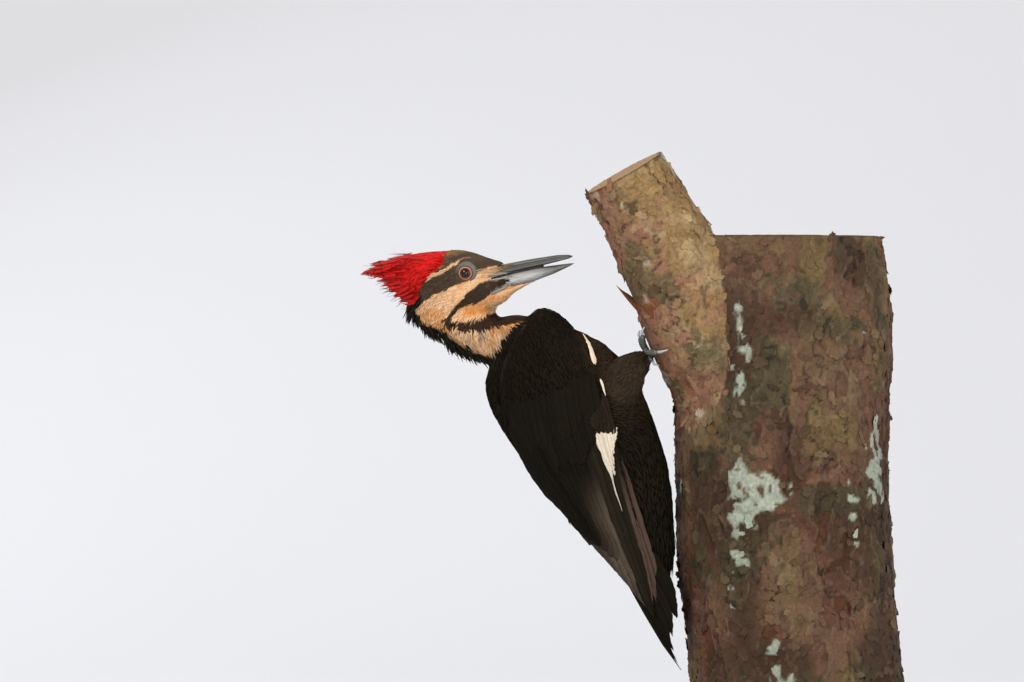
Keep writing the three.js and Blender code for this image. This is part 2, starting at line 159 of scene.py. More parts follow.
def chance(cell, seed=0):
    """A steady random number between 0 and 1 for each whole-numbered cell."""
    mixed = cell[:, 0] * 73856093 ^ cell[:, 1] * 19349663 ^ cell[:, 2] * 83492791 ^ (seed * 40503 + 977)
    mixed = (mixed ^ mixed >> 13) * 1274126177 & 0xFFFFFFFF
    mixed = (mixed ^ mixed >> 16) * 2246822519 & 0xFFFFFFFF
    return (mixed >> 8 & 0xFFFF) / 65535


# ---------------------------------------------------------------- meshes as arrays


def new_object(name, points, face_groups, smooth_groups=None):
    """An object from arrays: points, and one array of faces for each count of corners."""
    loops = np.concatenate([group.ravel() for group in face_groups])
    sizes = np.concatenate([np.full(len(group), group.shape[1]) for group in face_groups])
    starts = np.concatenate([[0], np.cumsum(sizes)[:-1]])
    mesh = bpy.data.meshes.new(name)
    mesh.vertices.add(len(points))
    mesh.vertices.foreach_set("co", np.asarray(points, np.float32).ravel())
    mesh.loops.add(len(loops))
    mesh.loops.foreach_set("vertex_index", loops.astype(np.int32))
    mesh.polygons.add(len(sizes))
    mesh.polygons.foreach_set("loop_start", starts.astype(np.int32))
    if smooth_groups is None:
        smooth_groups = [True] * len(face_groups)
    smooth = np.concatenate([np.full(len(g), s) for g, s in zip(face_groups, smooth_groups)])
    mesh.polygons.foreach_set("use_smooth", smooth)
    mesh.update(calc_edges=True)
    mesh.validate()
    made = bpy.data.objects.new(name, mesh)
    bpy.context.scene.collection.objects.link(made)
    return made


def corner_points(mesh):
    corners = np.empty(len(mesh.loops), np.int32)
    mesh.loops.foreach_get("vertex_index", corners)
    return corners


def mesh_points(mesh):
    points = np.empty(len(mesh.vertices) * 3, np.float32)
    mesh.vertices.foreach_get("co", points)
    return points.reshape(-1, 3).astype(float)


def mesh_quads(mesh):
    return corner_points(mesh).reshape(-1, 4)


def set_colour(mesh, name, colours):
    data = np.ones((len(mesh.vertices), 4), np.float32)
    data[:, :3] = colours
    layer = mesh.color_attributes.new(name=name, type="FLOAT_COLOR", domain="POINT")
    layer.data.foreach_set("color", data.ravel())


def set_value(mesh, name, values):
    layer = mesh.attributes.new(name=name, type="FLOAT", domain="POINT")
    layer.data.foreach_set("value", np.asarray(values, np.float32))


def set_map(mesh, name, point_uv):
    layer = mesh.uv_layers.new(name=name)
    layer.data.foreach_set("uv", point_uv[corner_points(mesh)].astype(np.float32).ravel())


def unwrap(target, margin=0.003):
    """Cuts the surface into pieces that lie flat and packs them, in the map named OFBake."""
    target.data.uv_layers.new(name="OFBake")
    bpy.context.view_layer.objects.active = target
    target.select_set(True)
    bpy.ops.object.mode_set(mode="EDIT")
    bpy.ops.mesh.select_all(action="SELECT")
    bpy.ops.uv.smart_project(angle_limit=math.radians(66), island_margin=margin)
    bpy.ops.object.mode_set(mode="OBJECT")
    target.select_set(False)


def finish(piece, slot, *nodes):
    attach(piece, "root")
    if nodes:
        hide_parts(*nodes)
    return piece


def make_piece(name, points, groups, slot, material, *nodes, paint=None, values={}, maps={}, smooth=None):
    """A finished piece: its mesh, a painted colour and values at its points, its maps and its finish."""
    piece = new_object(name, points, groups, smooth)
    if paint is not None:
        set_colour(piece.data, *paint)
    for key, amounts in values.items():
        set_value(piece.data, key, amounts)
    for key, places in maps.items():
        set_map(piece.data, key, places)
    if "OFBake" not in maps:
        unwrap(piece)
    piece.data.materials.append(material)
    return finish(piece, slot, *nodes)


def drop(scratch):
    mesh = scratch.data
    bpy.data.objects.remove(scratch)
    bpy.data.meshes.remove(mesh)


def cad_solid(name, grow=0.0, cut_at=None):
    """A merged copy of a node, let out by grow, and cut off across the back at cut_at."""
    solid = bmesh.new()
    solid.from_mesh(NODES[name].data)
    bmesh.ops.remove_doubles(solid, verts=solid.verts, dist=0.02 * MM)
    if cut_at is not None:
        bmesh.ops.bisect_plane(
            solid,
            geom=solid.verts[:] + solid.edges[:] + solid.faces[:],
            plane_co=on_back(cut_at, 0, 0),
            plane_no=back_way(1, 0, 0),
            clear_outer=True,
        )
        bmesh.ops.holes_fill(solid, edges=[e for e in solid.edges if e.is_boundary], sides=0)
    solid.normal_update()
    shifts = [v.normal * grow for v in solid.verts]
    for v, shift in zip(solid.verts, shifts):
        v.co += shift
    bmesh.ops.triangulate(solid, faces=solid.faces)
    points = np.array([v.co for v in solid.verts])
    faces = np.array([[v.index for v in f.verts] for f in solid.faces])
    solid.free()
    return points, faces


def joined(parts):
    points = np.concatenate([p for p, _ in parts])
    shift = np.cumsum([0] + [len(p) for p, _ in parts[:-1]])
    return points, np.concatenate([f + s for (_, f), s in zip(parts, shift)])


def evaluated_mesh(target):
    """A plain mesh of what an object's modifiers make of it."""
    return bpy.data.meshes.new_from_object(target.evaluated_get(bpy.context.evaluated_depsgraph_get()))


def modified(points, faces, kind, **settings):
    """The points and squares that a modifier makes of a mesh."""
    scratch = new_object("scratch", points, [faces])
    modifier = scratch.modifiers.new("made", kind)
    for key, value in settings.items():
        setattr(modifier, key, value)
    result = evaluated_mesh(scratch)
    out = mesh_points(result), mesh_quads(result)
    bpy.data.meshes.remove(result)
    drop(scratch)
    return out


def remeshed(points, faces, voxel):
    """One closed skin of even squares round everything given."""
    return modified(points, faces, "REMESH", mode="VOXEL", voxel_size=voxel)


def ring_faces(rows, around):
    """The squares between rows of points that each go once round."""
    row, i = (k.ravel() for k in np.mgrid[: rows - 1, :around])
    here, beside = row * around + i, row * around + (i + 1) % around
    return np.column_stack([here, here + around, beside + around, beside])


def fan(middle, first, around):
    """Triangles from one point to each side of a ring of points that begins at first."""
    i = np.arange(around)
    return np.column_stack([np.full(around, middle), first + i, first + (i + 1) % around])


def ring_edges(quads):
    edges = np.concatenate([quads[:, [i, (i + 1) % 4]] for i in range(4)])
    return np.unique(np.sort(edges, axis=1), axis=0)


def eased(values, edges, rounds, pull=0.5):
    """Each point's value drawn towards its neighbours'."""
    values = np.array(values, float)
    flat = values.ndim == 1
    if flat:
        values = values[:, None]
    count = np.bincount(edges.ravel(), minlength=len(values))[:, None]
    for _ in range(rounds):
        total = np.zeros_like(values)
        for axis in range(values.shape[1]):
            total[:, axis] += np.bincount(edges[:, 0], values[edges[:, 1], axis], len(values))
            total[:, axis] += np.bincount(edges[:, 1], values[edges[:, 0], axis], len(values))
        values += pull * (total / count - values)
    return values[:, 0] if flat else values


def face_crosses(points, quads):
    a, b, c, d = (points[quads[:, i]] for i in range(4))
    return np.cross(c - a, d - b) / 2


def point_normals(points, quads):
    crosses = face_crosses(points, quads)
    normals = np.zeros_like(points)
    for corner in range(4):
        for axis in range(3):
            normals[:, axis] += np.bincount(quads[:, corner], crosses[:, axis], len(points))
    return unit(normals)


def tree_of(points, faces):
    return BVHTree.FromPolygons([Vector(p) for p in points], [tuple(f) for f in faces.tolist()])


def nearest(tree, points):
    """The nearest place on a surface to each point, its normal and its face."""
    places = np.empty((len(points), 3))
    normals = np.empty((len(points), 3))
    faces = np.empty(len(points), int)
    for i, point in enumerate(points):
        places[i], normals[i], faces[i], _ = tree.find_nearest(point)
    return places, normals, faces


def through(points, quads, normals, no_wall):
    """How far each point is from the wall straight behind it, or no_wall where there is none near."""
    own = tree_of(points, quads)
    out = np.full(len(points), no_wall)
    for i, (point, normal) in enumerate(zip(points, normals)):
        hit = own.ray_cast(Vector(point - normal * 0.05 * MM), Vector(-normal), 0.02)
        if hit[3] is not None:
            out[i] = hit[3]
    return out


def box_middle(name):
    low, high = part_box(name)
    return np.array((low + high) / 2)


# ---------------------------------------------------------------- plumage colours

BLACK = linear((0.108, 0.092, 0.064))
DARK_BROWN = linear((0.25, 0.20, 0.15))
FOREHEAD = linear((0.36, 0.30, 0.235))
GINGER = linear((0.60, 0.45, 0.29))
CREAM = linear((0.89, 0.72, 0.555))
BUFF = linear((0.84, 0.58, 0.33))
RED = linear((0.83, 0.06, 0.045))
WHITE = linear((0.85, 0.80, 0.72))
MALAR = linear((0.25, 0.195, 0.145))


def mix(base, over, amount):
    amount = np.clip(amount, 0, 1)[:, None]
    return base * (1 - amount) + over * amount


def mix_one(base, over, amount):
    return base * (1 - amount) + over * amount


def from_stroke(f, n, *path):
    """How far inside a painted stroke a point lies, in mm: the path gives (f, n, half width)."""
    best = np.full(f.shape, -99.0)
    for (f0, n0, w0), (f1, n1, w1) in zip(path, path[1:]):
        t = np.clip(((f - f0) * (f1 - f0) + (n - n0) * (n1 - n0)) / ((f1 - f0) ** 2 + (n1 - n0) ** 2), 0, 1)
        away = np.hypot(f - f0 - t * (f1 - f0), n - n0 - t * (n1 - n0))
        best = np.maximum(best, w0 + t * (w1 - w0) - away)
    return best


def cheek_top(f):
    return along(
        f, (-38, -18.4), (-25, -11.3), (-17, -10), (-8, -8), (-1, -6.8), (5, -5.7), (10, -2.5), (16, 0.2), (25, -1.1)
    )


def malar_top(f):
    return along(
        f, (-8, -20), (-4, -17.8), (-2, -15), (2, -12.9), (6, -11.5), (10, -9.4), (15, -9.3), (20, -10.4), (27.5, -12.8)
    )


def malar_bottom(f):
    return along(f, (-8, -22.6), (2.4, -23.7), (10, -20.6), (18, -17.1), (22, -15.2), (27.5, -12.9))


def cream_bottom(f):
    return along(
        f, (-39, -28.6), (-30, -34.9), (-22, -34), (-14.6, -32.4), (-10.7, -33.5), (2.3, -34.3), (12.6, -31.8),
        (30, -31),
    )


def red_front(n):
    return along(
        n, (-13.6, -41), (-11.6, -36.2), (-6.2, -32.4), (-0.7, -28.1), (3.3, -21.8), (7.2, -15.8), (11.7, -11),
        (16.4, -9.7),
    )


def patch_top(f):
    return along(f, (-30, -35), (-15, -36.6), (-11.6, -39.7), (3.6, -42.4), (21, -42.5), (31, -41.6))


def patch_bottom(f):
    return along(
        f, (-30, -36), (-25, -40.3), (-19, -45.8), (-15, -52.4), (-5, -58.2), (1, -59.5), (7, -60), (12, -57),
        (16, -51.5), (22, -46.4), (30, -41.9),
    )


NAPE = [
    (-43.7, -13.5, 2.4), (-44.2, -21.9, 3.2), (-39.4, -29.3, 4.0), (-32.4, -35.8, 5.0), (-24.6, -44.6, 5.6),
    (-20.6, -49.7, 5.8), (-15.6, -55.0, 5.6), (-6.9, -61.2, 5.0), (0, -61.5, 3.0),
]


def markings(points):
    """The plumage's colour at each point, the same on both sides of the bird."""
    f, y, n = head_view(points)
    y = np.abs(y)
    paired = np.column_stack([points[:, 0], np.abs(points[:, 1]), points[:, 2]])
    f = f + 0.7 * noise(paired, 0.0035, 1) + 0.3 * noise(paired, 0.0015, 5)
    n = n + 0.6 * noise(paired, 0.0035, 2) + 0.3 * noise(paired, 0.0015, 6)
    patchy = 0.5 + 0.5 * noise(paired, 0.007, 3)
    brownish = np.clip(noise(paired, 0.02, 4), 0, 1)

    def all_over(tone):
        return np.tile(tone, (len(points), 1))

    def stroke(soft, *path):
        return step(from_stroke(f, n, *path), -soft, soft)

    colour = mix(all_over(BLACK), BLACK * 1.7, brownish * 0.6)
    s, _, h = back_view(points)
    belly = step(-h, 13, 24) * step(s, -12, 4) * (1 - step(s, 54, 88))
    colour = mix(colour, linear((0.225, 0.18, 0.135)) * (0.85 + 0.3 * patchy)[:, None], belly * 0.9)

    # the sides of the crown and the band through the eye
    below_face = step(n, cheek_top(f) - 0.6, cheek_top(f) + 0.6)
    face = below_face * step(f, -33.5, -31)
    colour = mix(colour, mix(all_over(DARK_BROWN), FOREHEAD, 0.35 + 0.65 * patchy * step(n, 2, 9)), face)
    forelock = step(n, 11.5, 14.5) * step(f, -14, -8) * (1 - step(f, 1, 9))
    colour = mix(colour, GINGER, face * forelock * (0.35 + 0.5 * patchy))
    brow = stroke(0.4, (-3.2, 8, 0.8), (-9.5, 5.1, 1.15), (-16.8, 2.7, 1.2), (-22.1, 2.1, 1.5), (-27, 0, 1.0))
    colour = mix(colour, CREAM * 0.9, brow)
    colour = mix(colour, CREAM * 0.7, 0.6 * stroke(0.3, (-4, 8.2, 0.4), (1.5, 9.6, 0.45), (6, 8.8, 0.2)))

    # the cheek, the throat and the black stripe between them
    light = step(n, cream_bottom(f) - 0.7, cream_bottom(f) + 0.7) * (1 - below_face) * step(f, -39.5, -36.5)
    warm = step(patchy, 0.45, 0.8) * 0.7 + 0.5 * step(n, -28, -21) * step(f, -12, 0) * (1 - step(n, -21, -18))
    colour = mix(colour, mix(all_over(CREAM), BUFF, warm), light)
    amber = step(n, -34, -29) * (1 - step(n, -25, -19)) * step(f, -12, -3) * (1 - step(f, 6, 13))
    colour = mix(colour, linear((0.84, 0.55, 0.27)), light * amber * 0.7)
    horn = np.maximum.reduce([
        from_stroke(f, n, (15.5, -18.3, 0.5), (20, -16.9, 1.1), (26, -15.0, 1.7), (33, -13.6, 2.6)),
        from_stroke(f, n, (17, -9.0, 0.5), (22, -9.5, 1.1), (27, -10.5, 2.1), (32, -10.8, 2.6)),
        from_stroke(f, n, (14.5, -6.1, 0.4), (20, -6.6, 0.8), (30, -7.0, 0.9)),
    ])
    colour = mix(colour, linear((0.72, 0.70, 0.66)) * (0.9 + 0.2 * patchy)[:, None], step(horn, -0.3, 0.3))
    # the gape line: a black stroke of painted shadow where the mandibles meet
    colour = mix(colour, BLACK * 1.6, stroke(0.3, (17.4, -8.0, 0.2), (24, -8.0, 0.5), (32, -8.0, 0.8)))
    malar = np.maximum.reduce([
        step(malar_top(f) - n, -0.5, 0.5) * step(n - malar_bottom(f), -0.5, 0.5) * step(f, -9, -7),
        stroke(0.5, (-5, -20.3, 2.3), (-11, -23.6, 1.6), (-16, -27.6, 1.5), (-19, -32, 2.1), (-21.5, -38, 2.3)),
        stroke(0.4, (-14, -25.6, 1.0), (-24, -31.3, 0.6)),
    ])
    colour = mix(colour, MALAR * 0.8, malar)
    mottle = step(0.5 + 0.5 * noise(paired, 0.0014, 11), 0.62, 0.85) * step(f, 8, 18)
    colour = mix(colour, linear((0.5, 0.47, 0.42)), malar * mottle * 0.6)

    # the dark brown of the throat's fold, and the streaked patch at the side of the neck
    fold = step(n, -46, -43) * (1 - belly) * (1 - step(n, -33, -30)) * step(f, -16, -10) * (1 - step(f, 31, 35))
    colour = mix(colour, linear((0.215, 0.15, 0.105)), fold * (colour.sum(1) < 0.12))
    patch = step(patch_top(f) - n, -0.5, 0.5) * step(n - patch_bottom(f), -0.5, 0.5)
    patch = patch * step(f, -31, -29) * (1 - step(f, 30, 31)) * step(y, 3, 6)
    lengthwise = paired * (1, 1, 0.2)
    streak = 0.5 + 0.5 * noise(lengthwise, 0.0022, 8)
    colour = mix(colour, mix(all_over(CREAM * 0.8), BUFF * 0.75, step(streak, 0.4, 0.8)), patch)
    colour = mix(colour, linear((0.84, 0.54, 0.27)), patch * step(f, 15, 25) * 0.65)
    shadow = step(0.5 + 0.5 * noise(lengthwise, 0.0016, 9), 0.5, 0.72) * (1 - step(f, 14, 24))
    colour = mix(colour, linear((0.55, 0.51, 0.45)), patch * shadow * 0.75)

    # the black feathers down the nape
    colour = mix(colour, BLACK * 1.3, step(from_stroke(f, n, *NAPE), -0.6, 0.9))

    # the crest, whose front edge is ragged and flecked
    fleck = 0.5 + 0.5 * noise(paired, 0.0017, 12)
    front = red_front(n) + 1.6 * noise(paired, 0.0026, 13)
    near = np.exp(-((f - front) / 2.6) ** 2) * step(n, 1, 5)
    colour = mix(colour, CREAM * 0.75, near * step(fleck, 0.62, 0.8) * 0.7)
    crest = (1 - step(f, front - 0.6, front + 0.6)) * step(n, -14.4, -13.2) * (1 - step(f, -9, -8))
    # the crest's red darkens towards its lower rear: painted shade
    colour = mix(colour, RED * (0.62 + 0.38 * step(n - 0.35 * f, 4, 22))[:, None], crest)
    return mix(colour, CREAM * 0.6, crest * near * step(1 - fleck, 0.72, 0.85) * 0.5)


# ---------------------------------------------------------------- lie of the coat


def lie_guides():
    """Landmarks on the right side: where each is, and which way the feathers there point."""
    places = [
        (on_head(30, -3, -2), head_way(-1, -0.2, 0.1)),
        (on_head(22, -1, 5), head_way(-1, 0, 0.35)),
        (on_head(8, -2, 13), head_way(-1, 0, 0.25)),
        (on_head(-10, -2, 17), head_way(-1, 0, 0.05)),
        (on_head(-30, -2, 19), head_way(-1, 0, 0.05)),
        (on_head(-62, 0, 15), head_way(-1, 0, -0.05)),
        (on_head(-12, -12, 8), head_way(-1, 0, 0.05)),
        (on_head(-30, -10, 2), head_way(-1, 0, -0.35)),
        (on_head(-50, -5, 0), head_way(-1, 0, -0.45)),
        (on_head(-42, -5, -10), head_way(-0.75, 0, -0.7)),
        (on_head(15, -8, 0), head_way(-1, -0.3, 0.05)),
        (on_head(2, -12, -9), head_way(-1, -0.1, -0.3)),
        (on_head(-20, -13, -14), head_way(-1, 0, -0.55)),
        (on_head(30, -3, -19), head_way(-1, 0, -0.55)),
        (on_head(12, -5, -29), head_way(-1, 0, -0.45)),
        (on_head(-6, -10, -28), head_way(-1, 0, -0.75)),
        (on_head(-35, -6, -28), head_way(-0.35, 0, -1)),
        (on_head(-18, -15, -42), head_way(0.0, 0, -1)),
        (on_head(10, -17, -40), head_way(0.15, -0.1, -1)),
        (on_head(12, -5, -36), head_way(0.9, -0.1, -0.5)),
        (on_head(28, -10, -41), head_way(0.9, -0.1, -0.8)),
        (on_head(-10, -6, -58), head_way(0.5, 0, -1)),
        (on_head(0, -20, -52), head_way(0.15, 0, -1)),
        (on_back(8, -8, 50), back_way(1, 0, 0)),
        (on_back(60, -5, 52), back_way(1, 0, -0.1)),
        (on_back(140, 0, 32), back_way(1, 0, -0.3)),
        (on_back(-10, -20, -5), back_way(1, -0.3, 0)),
        (on_back(20, -40, 20), back_way(1, 0, 0)),
        (on_back(100, -38, 10), back_way(1, 0.1, 0)),
        (on_back(10, -12, -30), back_way(1, 0, -0.3)),
        (on_back(60, -10, -44), back_way(1, 0, 0)),
        (on_back(140, -8, -36), back_way(1, 0, 0.25)),
        (on_back(185, -5, -18), back_way(1, 0, 0.1)),
    ]
    leg, foot = box_middle("leg_right"), box_middle("foot_right")
    places += [(leg, unit(foot - leg)), (leg * 0.4 + foot * 0.6, unit(foot - leg))]
    return np.array([p for p, _ in places]), unit(np.array([w for _, w in places]))


def lie(points, normals):
    """The way the coat lies at each point, along the surface."""
    places, ways = lie_guides()
    side = np.where(points[:, 1] > 0, -1.0, 1.0)
    flipped = points.copy()
    flipped[:, 1] *= side
    away = np.linalg.norm(flipped[:, None, :] - places[None], axis=2)
    weight = 1 / (away + 0.002) ** 3.5
    way = (weight[:, :, None] * ways[None]).sum(1) / weight.sum(1)[:, None]
    way[:, 1] *= side
    way -= normals * (way * normals).sum(1)[:, None]
    return unit(way)


# ---------------------------------------------------------------- the skin under the coat

# the nodes of flesh, and how deep the coat lies over each, in mm
FLESH = {
    "head": 0.9, "crest": 1.8, "neck": 0.9, "body": 0.9, "leg_right": 0.7, "leg_left": 0.7, "wing_right": 1.3,
    "wing_left": 1.3,
}
WING_FLESH_END = 150.0
# the skin that everything grows from: its points, quads and tree, and the centre and label of each face
BED = {}


def coat_depth(points, labels):
    """How far the skin lies under the outline of the feathers, in metres."""
    f, _, n = head_view(points)
    s, _, h = back_view(points)
    part = {name: labels == i for i, name in enumerate(FLESH)}
    depth = np.array(list(FLESH.values()))[labels]
    depth = depth + part["crest"] * along(f, (-60, 6), (-52, 2), (-47, 0))
    throat = from_stroke(f, n, (15, -30, 8), (28, -32.5, 8), (46, -34, 8))
    nape = from_stroke(f, n, (-46, -16, 9), (-40, -29, 9), (-20, -51, 9), (-2, -66, 9))
    depth = depth + part["neck"] * 2.2 * step(throat, 0, 5)
    depth = depth + part["neck"] * 3.2 * step(nape, 0, 6)
    depth = depth - part["body"] * 0.9 * step(h, 30, 42) * step(s, 0, 12) * (1 - step(s, 30, 60))
    depth = depth + (part["wing_right"] | part["wing_left"]) * 1.4 * step(s, 36, 52)
    thin_face = along(f, (-40, 1.3), (-10, 0.9), (12, 0.7), (24, 0.45), (31, 0.3))
    depth = np.where(part["head"], thin_face, depth)
    throat_fold = 3.8 * step(6.5 - np.hypot(f - 16.2, n + 32.6), 0, 3.5)
    return (depth + throat_fold * ~part["crest"]) * MM


def make_skin(sizes):
    parts = [
        cad_solid(name, grow=0.3 * MM, cut_at=WING_FLESH_END if name.startswith("wing") else None) for name in FLESH
    ]
    outline_points, outline_faces = joined(parts)
    owner = np.repeat(range(len(parts)), [len(faces) for _, faces in parts])

    points, quads = remeshed(outline_points, outline_faces, sizes.skin_square)
    edges = ring_edges(quads)
    points = eased(points, edges, 4)
    labels = owner[nearest(tree_of(outline_points, outline_faces), points)[2]]
    normals = point_normals(points, quads)
    depth = eased(coat_depth(points, labels), edges, 10)
    # thin parts, the crest above all, keep some flesh between their two sides
    most = np.where(labels == list(FLESH).index("crest"), 0.46, 0.38)
    depth = np.minimum(depth, eased(through(points, quads, normals, 0.02), edges, 3) * most)
    points = eased(points - normals * depth[:, None], edges, 2)
    BED.update(points=points, quads=quads, tree=tree_of(points, quads))
    BED.update(centre=points[quads].mean(1), label=labels[quads[:, 0]])
    # the skin takes the coat's markings darkened by a fifth: painted shade under the feathers
    make_piece(
        "skin", points, [quads], "black_plumage", plumage_material("skin_under_coat", barbs=False),
        *(name for name in FLESH if not name.startswith("wing")), paint=("plumage", markings(points) * 0.8),
        values={"tint": np.zeros(len(points))},
    )


def part_of(*names):
    """Which faces of the skin belong to these nodes of flesh."""
    return np.isin(BED["label"], [list(FLESH).index(name) for name in names])


def bed_of(wanted):
    """The part of the skin that one piece of coat grows from, with a map of its own."""
    faces = BED["quads"][wanted]
    used, renumbered = np.unique(faces, return_inverse=True)
    points, quads = BED["points"][used], renumbered.reshape(faces.shape)
    scratch = new_object("scratch", points, [quads])
    unwrap(scratch)
    uv = np.empty(len(scratch.data.loops) * 2, np.float32)
    scratch.data.uv_layers["OFBake"].data.foreach_get("uv", uv)
    drop(scratch)
    return points, quads, uv.reshape(-1, 4, 2).astype(float)


def scatter(bed, spacing, rng):
    """Places on the bed no nearer to each other than the spacing there, with their map places."""
    points, quads, uv = bed
    area = np.linalg.norm(face_crosses(points, quads), axis=1)
    gap = np.broadcast_to(spacing(points[quads].mean(1)) if callable(spacing) else spacing, len(quads))
    share = area / gap**2
    tries = int(share.sum() * 5)
    pick = rng.choice(len(quads), tries, p=share / share.sum())
    a, b = rng.random((2, tries, 1))

    def inside(corner):
        return (corner[:, 0] * (1 - a) + corner[:, 1] * a) * (1 - b) + (corner[:, 3] * (1 - a) + corner[:, 2] * a) * b

    place, spot = inside(points[quads[pick]]), inside(uv[pick])
    cells = {}
    kept = []
    keys = np.floor(place / gap.max()).astype(int).tolist()
    around = [(i, j, k) for i in (-1, 0, 1) for j in (-1, 0, 1) for k in (-1, 0, 1)]
    for i, ((p, q, r), (x, y, z), least) in enumerate(zip(keys, place.tolist(), (gap[pick] ** 2).tolist())):
        near = (other for u, v, w in around for other in cells.get((p + u, q + v, r + w), ()))
        if all((x - o[0]) ** 2 + (y - o[1]) ** 2 + (z - o[2]) ** 2 >= least for o in near):
            cells.setdefault((p, q, r), []).append((x, y, z))
            kept.append(i)
    return place[kept], spot[kept]


# ---------------------------------------------------------------- one feather, many times


# A narrow closed lock: a pointed ridge above and a flat below. Its points are (across, along).
TUFT_SPOTS = np.array([(0, 0)] + [(u, v) for v in (0.3, 0.68) for u in (-1, 0, 1)] + [(0, 1)], float)
TUFT_GIRTH = np.array([0, 1, 1, 1, 0.8, 0.8, 0.8, 0])
TUFT_RISE = np.array([0, 0, 1, 0, 0, 1, 0, 0])
TUFT_FACES = (
    [(0, 2, 1), (0, 3, 2), (0, 1, 3), (4, 5, 7), (5, 6, 7), (6, 4, 7)],
    [(1, 2, 5, 4), (2, 3, 6, 5), (3, 1, 4, 6)],
)
TUFT_PATCH = 0.003


def repeated(groups, count, size):
    """The faces of one small shape of so many points, for each of many copies of it."""
    shift = np.arange(count)[:, None, None] * size
    return [(np.array(faces)[None] + shift).reshape(-1, len(faces[0])) for faces in groups]


def grow(name, wanted, seed, slot, material, **plan):
    """A coat of tufts over the wanted faces of the skin. The plan gives spacing, length, width, lift
    and crown, each a number or what finds one for each place, and how the tufts stray and differ."""
    rng = np.random.default_rng(seed)
    place, spot = scatter(bed_of(wanted), plan["spacing"], rng)
    place, normal, _ = nearest(BED["tree"], place)
    count = len(place)
    way = lie(place, normal)
    turn = rng.normal(0, plan["stray"], (count, 1))
    way = way * np.cos(turn) + np.cross(normal, way) * np.sin(turn)

    def value(key, least, most):
        out = plan[key]
        out = np.broadcast_to(out(place) if callable(out) else out, count).astype(float)
        return out * rng.uniform(least, most, count)

    length = value("length", 0.82, 1.15)
    width = value("width", 0.85, 1.15)
    lift = value("lift", 0.6, 1.35)

    # the line that each tuft follows over the skin, and the way out of the skin along it
    parts = 3
    stations = np.linspace(0, 1, parts + 1)
    line = np.empty((count, parts + 1, 3))
    out = np.empty_like(line)
    at, up, forward = place, normal, way
    line[:, 0], out[:, 0] = at, up
    for k in range(1, parts + 1):
        reach = at + forward * (length * (stations[k] - stations[k - 1]))[:, None]
        fresh, raised, _ = nearest(BED["tree"], reach)
        jumped = np.linalg.norm(fresh - reach, axis=1) > length * 0.35
        fresh[jumped] = reach[jumped]
        raised = np.where((raised * up).sum(1)[:, None] < 0.2, up, raised)
        raised = unit(raised + up * 0.6)
        raised[jumped] = up[jumped]
        at, up = fresh, raised
        forward = unit(forward - up * (forward * up).sum(1)[:, None])
        line[:, k], out[:, k] = at, up

    u, v = TUFT_SPOTS.T
    jag = rng.normal(0, 0.05, (count, len(v))) * step(v, 0.8, 0.95)[None]
    reach = np.clip(v[None] + jag, 0, 1.08)
    station = np.clip(reach, 0, 1) * parts
    low = np.minimum(station.astype(int), parts - 1)
    part = (station - low)[:, :, None]
    rows = np.arange(count)[:, None]
    base = line[rows, low] * (1 - part) + line[rows, low + 1] * part
    overrun = np.clip(reach - 1, 0, None)[:, :, None]
    base = base + overrun * length[:, None, None] * forward[:, None, :]
    upward = unit(out[rows, low] * (1 - part) + out[rows, low + 1] * part)
    across = unit(np.cross(upward, unit(line[rows, low + 1] - line[rows, low])))
    height = length[:, None] * (np.tan(lift)[:, None] * reach - plan.get("droop", 0.06) * reach**2)
    height = height - 0.3 * MM + TUFT_RISE[None] * (width * plan["crown"])[:, None]
    points = base + upward * height[:, :, None] + across * (u[None] * TUFT_GIRTH[None] * width[:, None] / 2)[:, :, None]

    shade = markings(line[:, 2] * 0.6 + line[:, 1] * 0.4)
    shade = shade * (1 + plan.get("tone", 0.13) * rng.normal(0, 1, count))[:, None]
    # painted shade: each tuft darkens towards its root, where the tufts before it lie over it
    tip = 1.04 - plan.get("fade", 0.3) * (1 - v)
    patch = np.stack([(u + 1) / 2, v], axis=1) - 0.5
    vane = np.stack([(u * np.maximum(TUFT_GIRTH, 0.05) + 1) / 2, v], axis=1)
    make_piece(
        name, points.reshape(-1, 3), repeated(TUFT_FACES, count, len(v)), slot, material,
        paint=("plumage", (shade[:, None] * tip[None, :, None]).reshape(-1, 3)),
        values={"tint": np.repeat(rng.uniform(0, 1, count), len(v))},
        maps={
            "OFBake": (spot[:, None] + patch[None] * TUFT_PATCH).reshape(-1, 2).clip(0, 1),
            "vane": np.tile(vane, (count, 1)),
        },
    )


# ---------------------------------------------------------------- finishes


def new_material(name):
    material = bpy.data.materials.new(name)
    material.use_nodes = True
    return material, material.node_tree, material.node_tree.nodes["Principled BSDF"]


def fill(node, inputs):
    """Links a node's inputs to the outputs given, and sets the rest to their values."""
    for key, value in inputs.items():
        if isinstance(value, bpy.types.NodeSocket):
            node.id_data.links.new(value, node.inputs[key])
        else:
            node.inputs[key].default_value = value


def new_node(tree, kind, inputs, out=0, **settings):
    """Adds a node, and gives one of its outputs."""
    node = tree.nodes.new(kind)
    for key, value in settings.items():
        setattr(node, key, value)
    fill(node, inputs)
    return node.outputs[out]


def attribute(tree, name, out="Fac"):
    return new_node(tree, "ShaderNodeAttribute", {}, out, attribute_name=name)


def object_place(tree):
    return new_node(tree, "ShaderNodeTexCoord", {}, "Object")


def mapped(tree, place, scale, turn=(0, 0, 0)):
    return new_node(tree, "ShaderNodeMapping", {"Vector": place, "Scale": scale, "Rotation": turn})


def texture(tree, place, scale=1.0, detail=2.0, socket="Vector", **settings):
    inputs = {socket: place, "Scale": scale, "Detail": detail}
    return new_node(tree, "ShaderNodeTexNoise", inputs, "Fac", **settings)


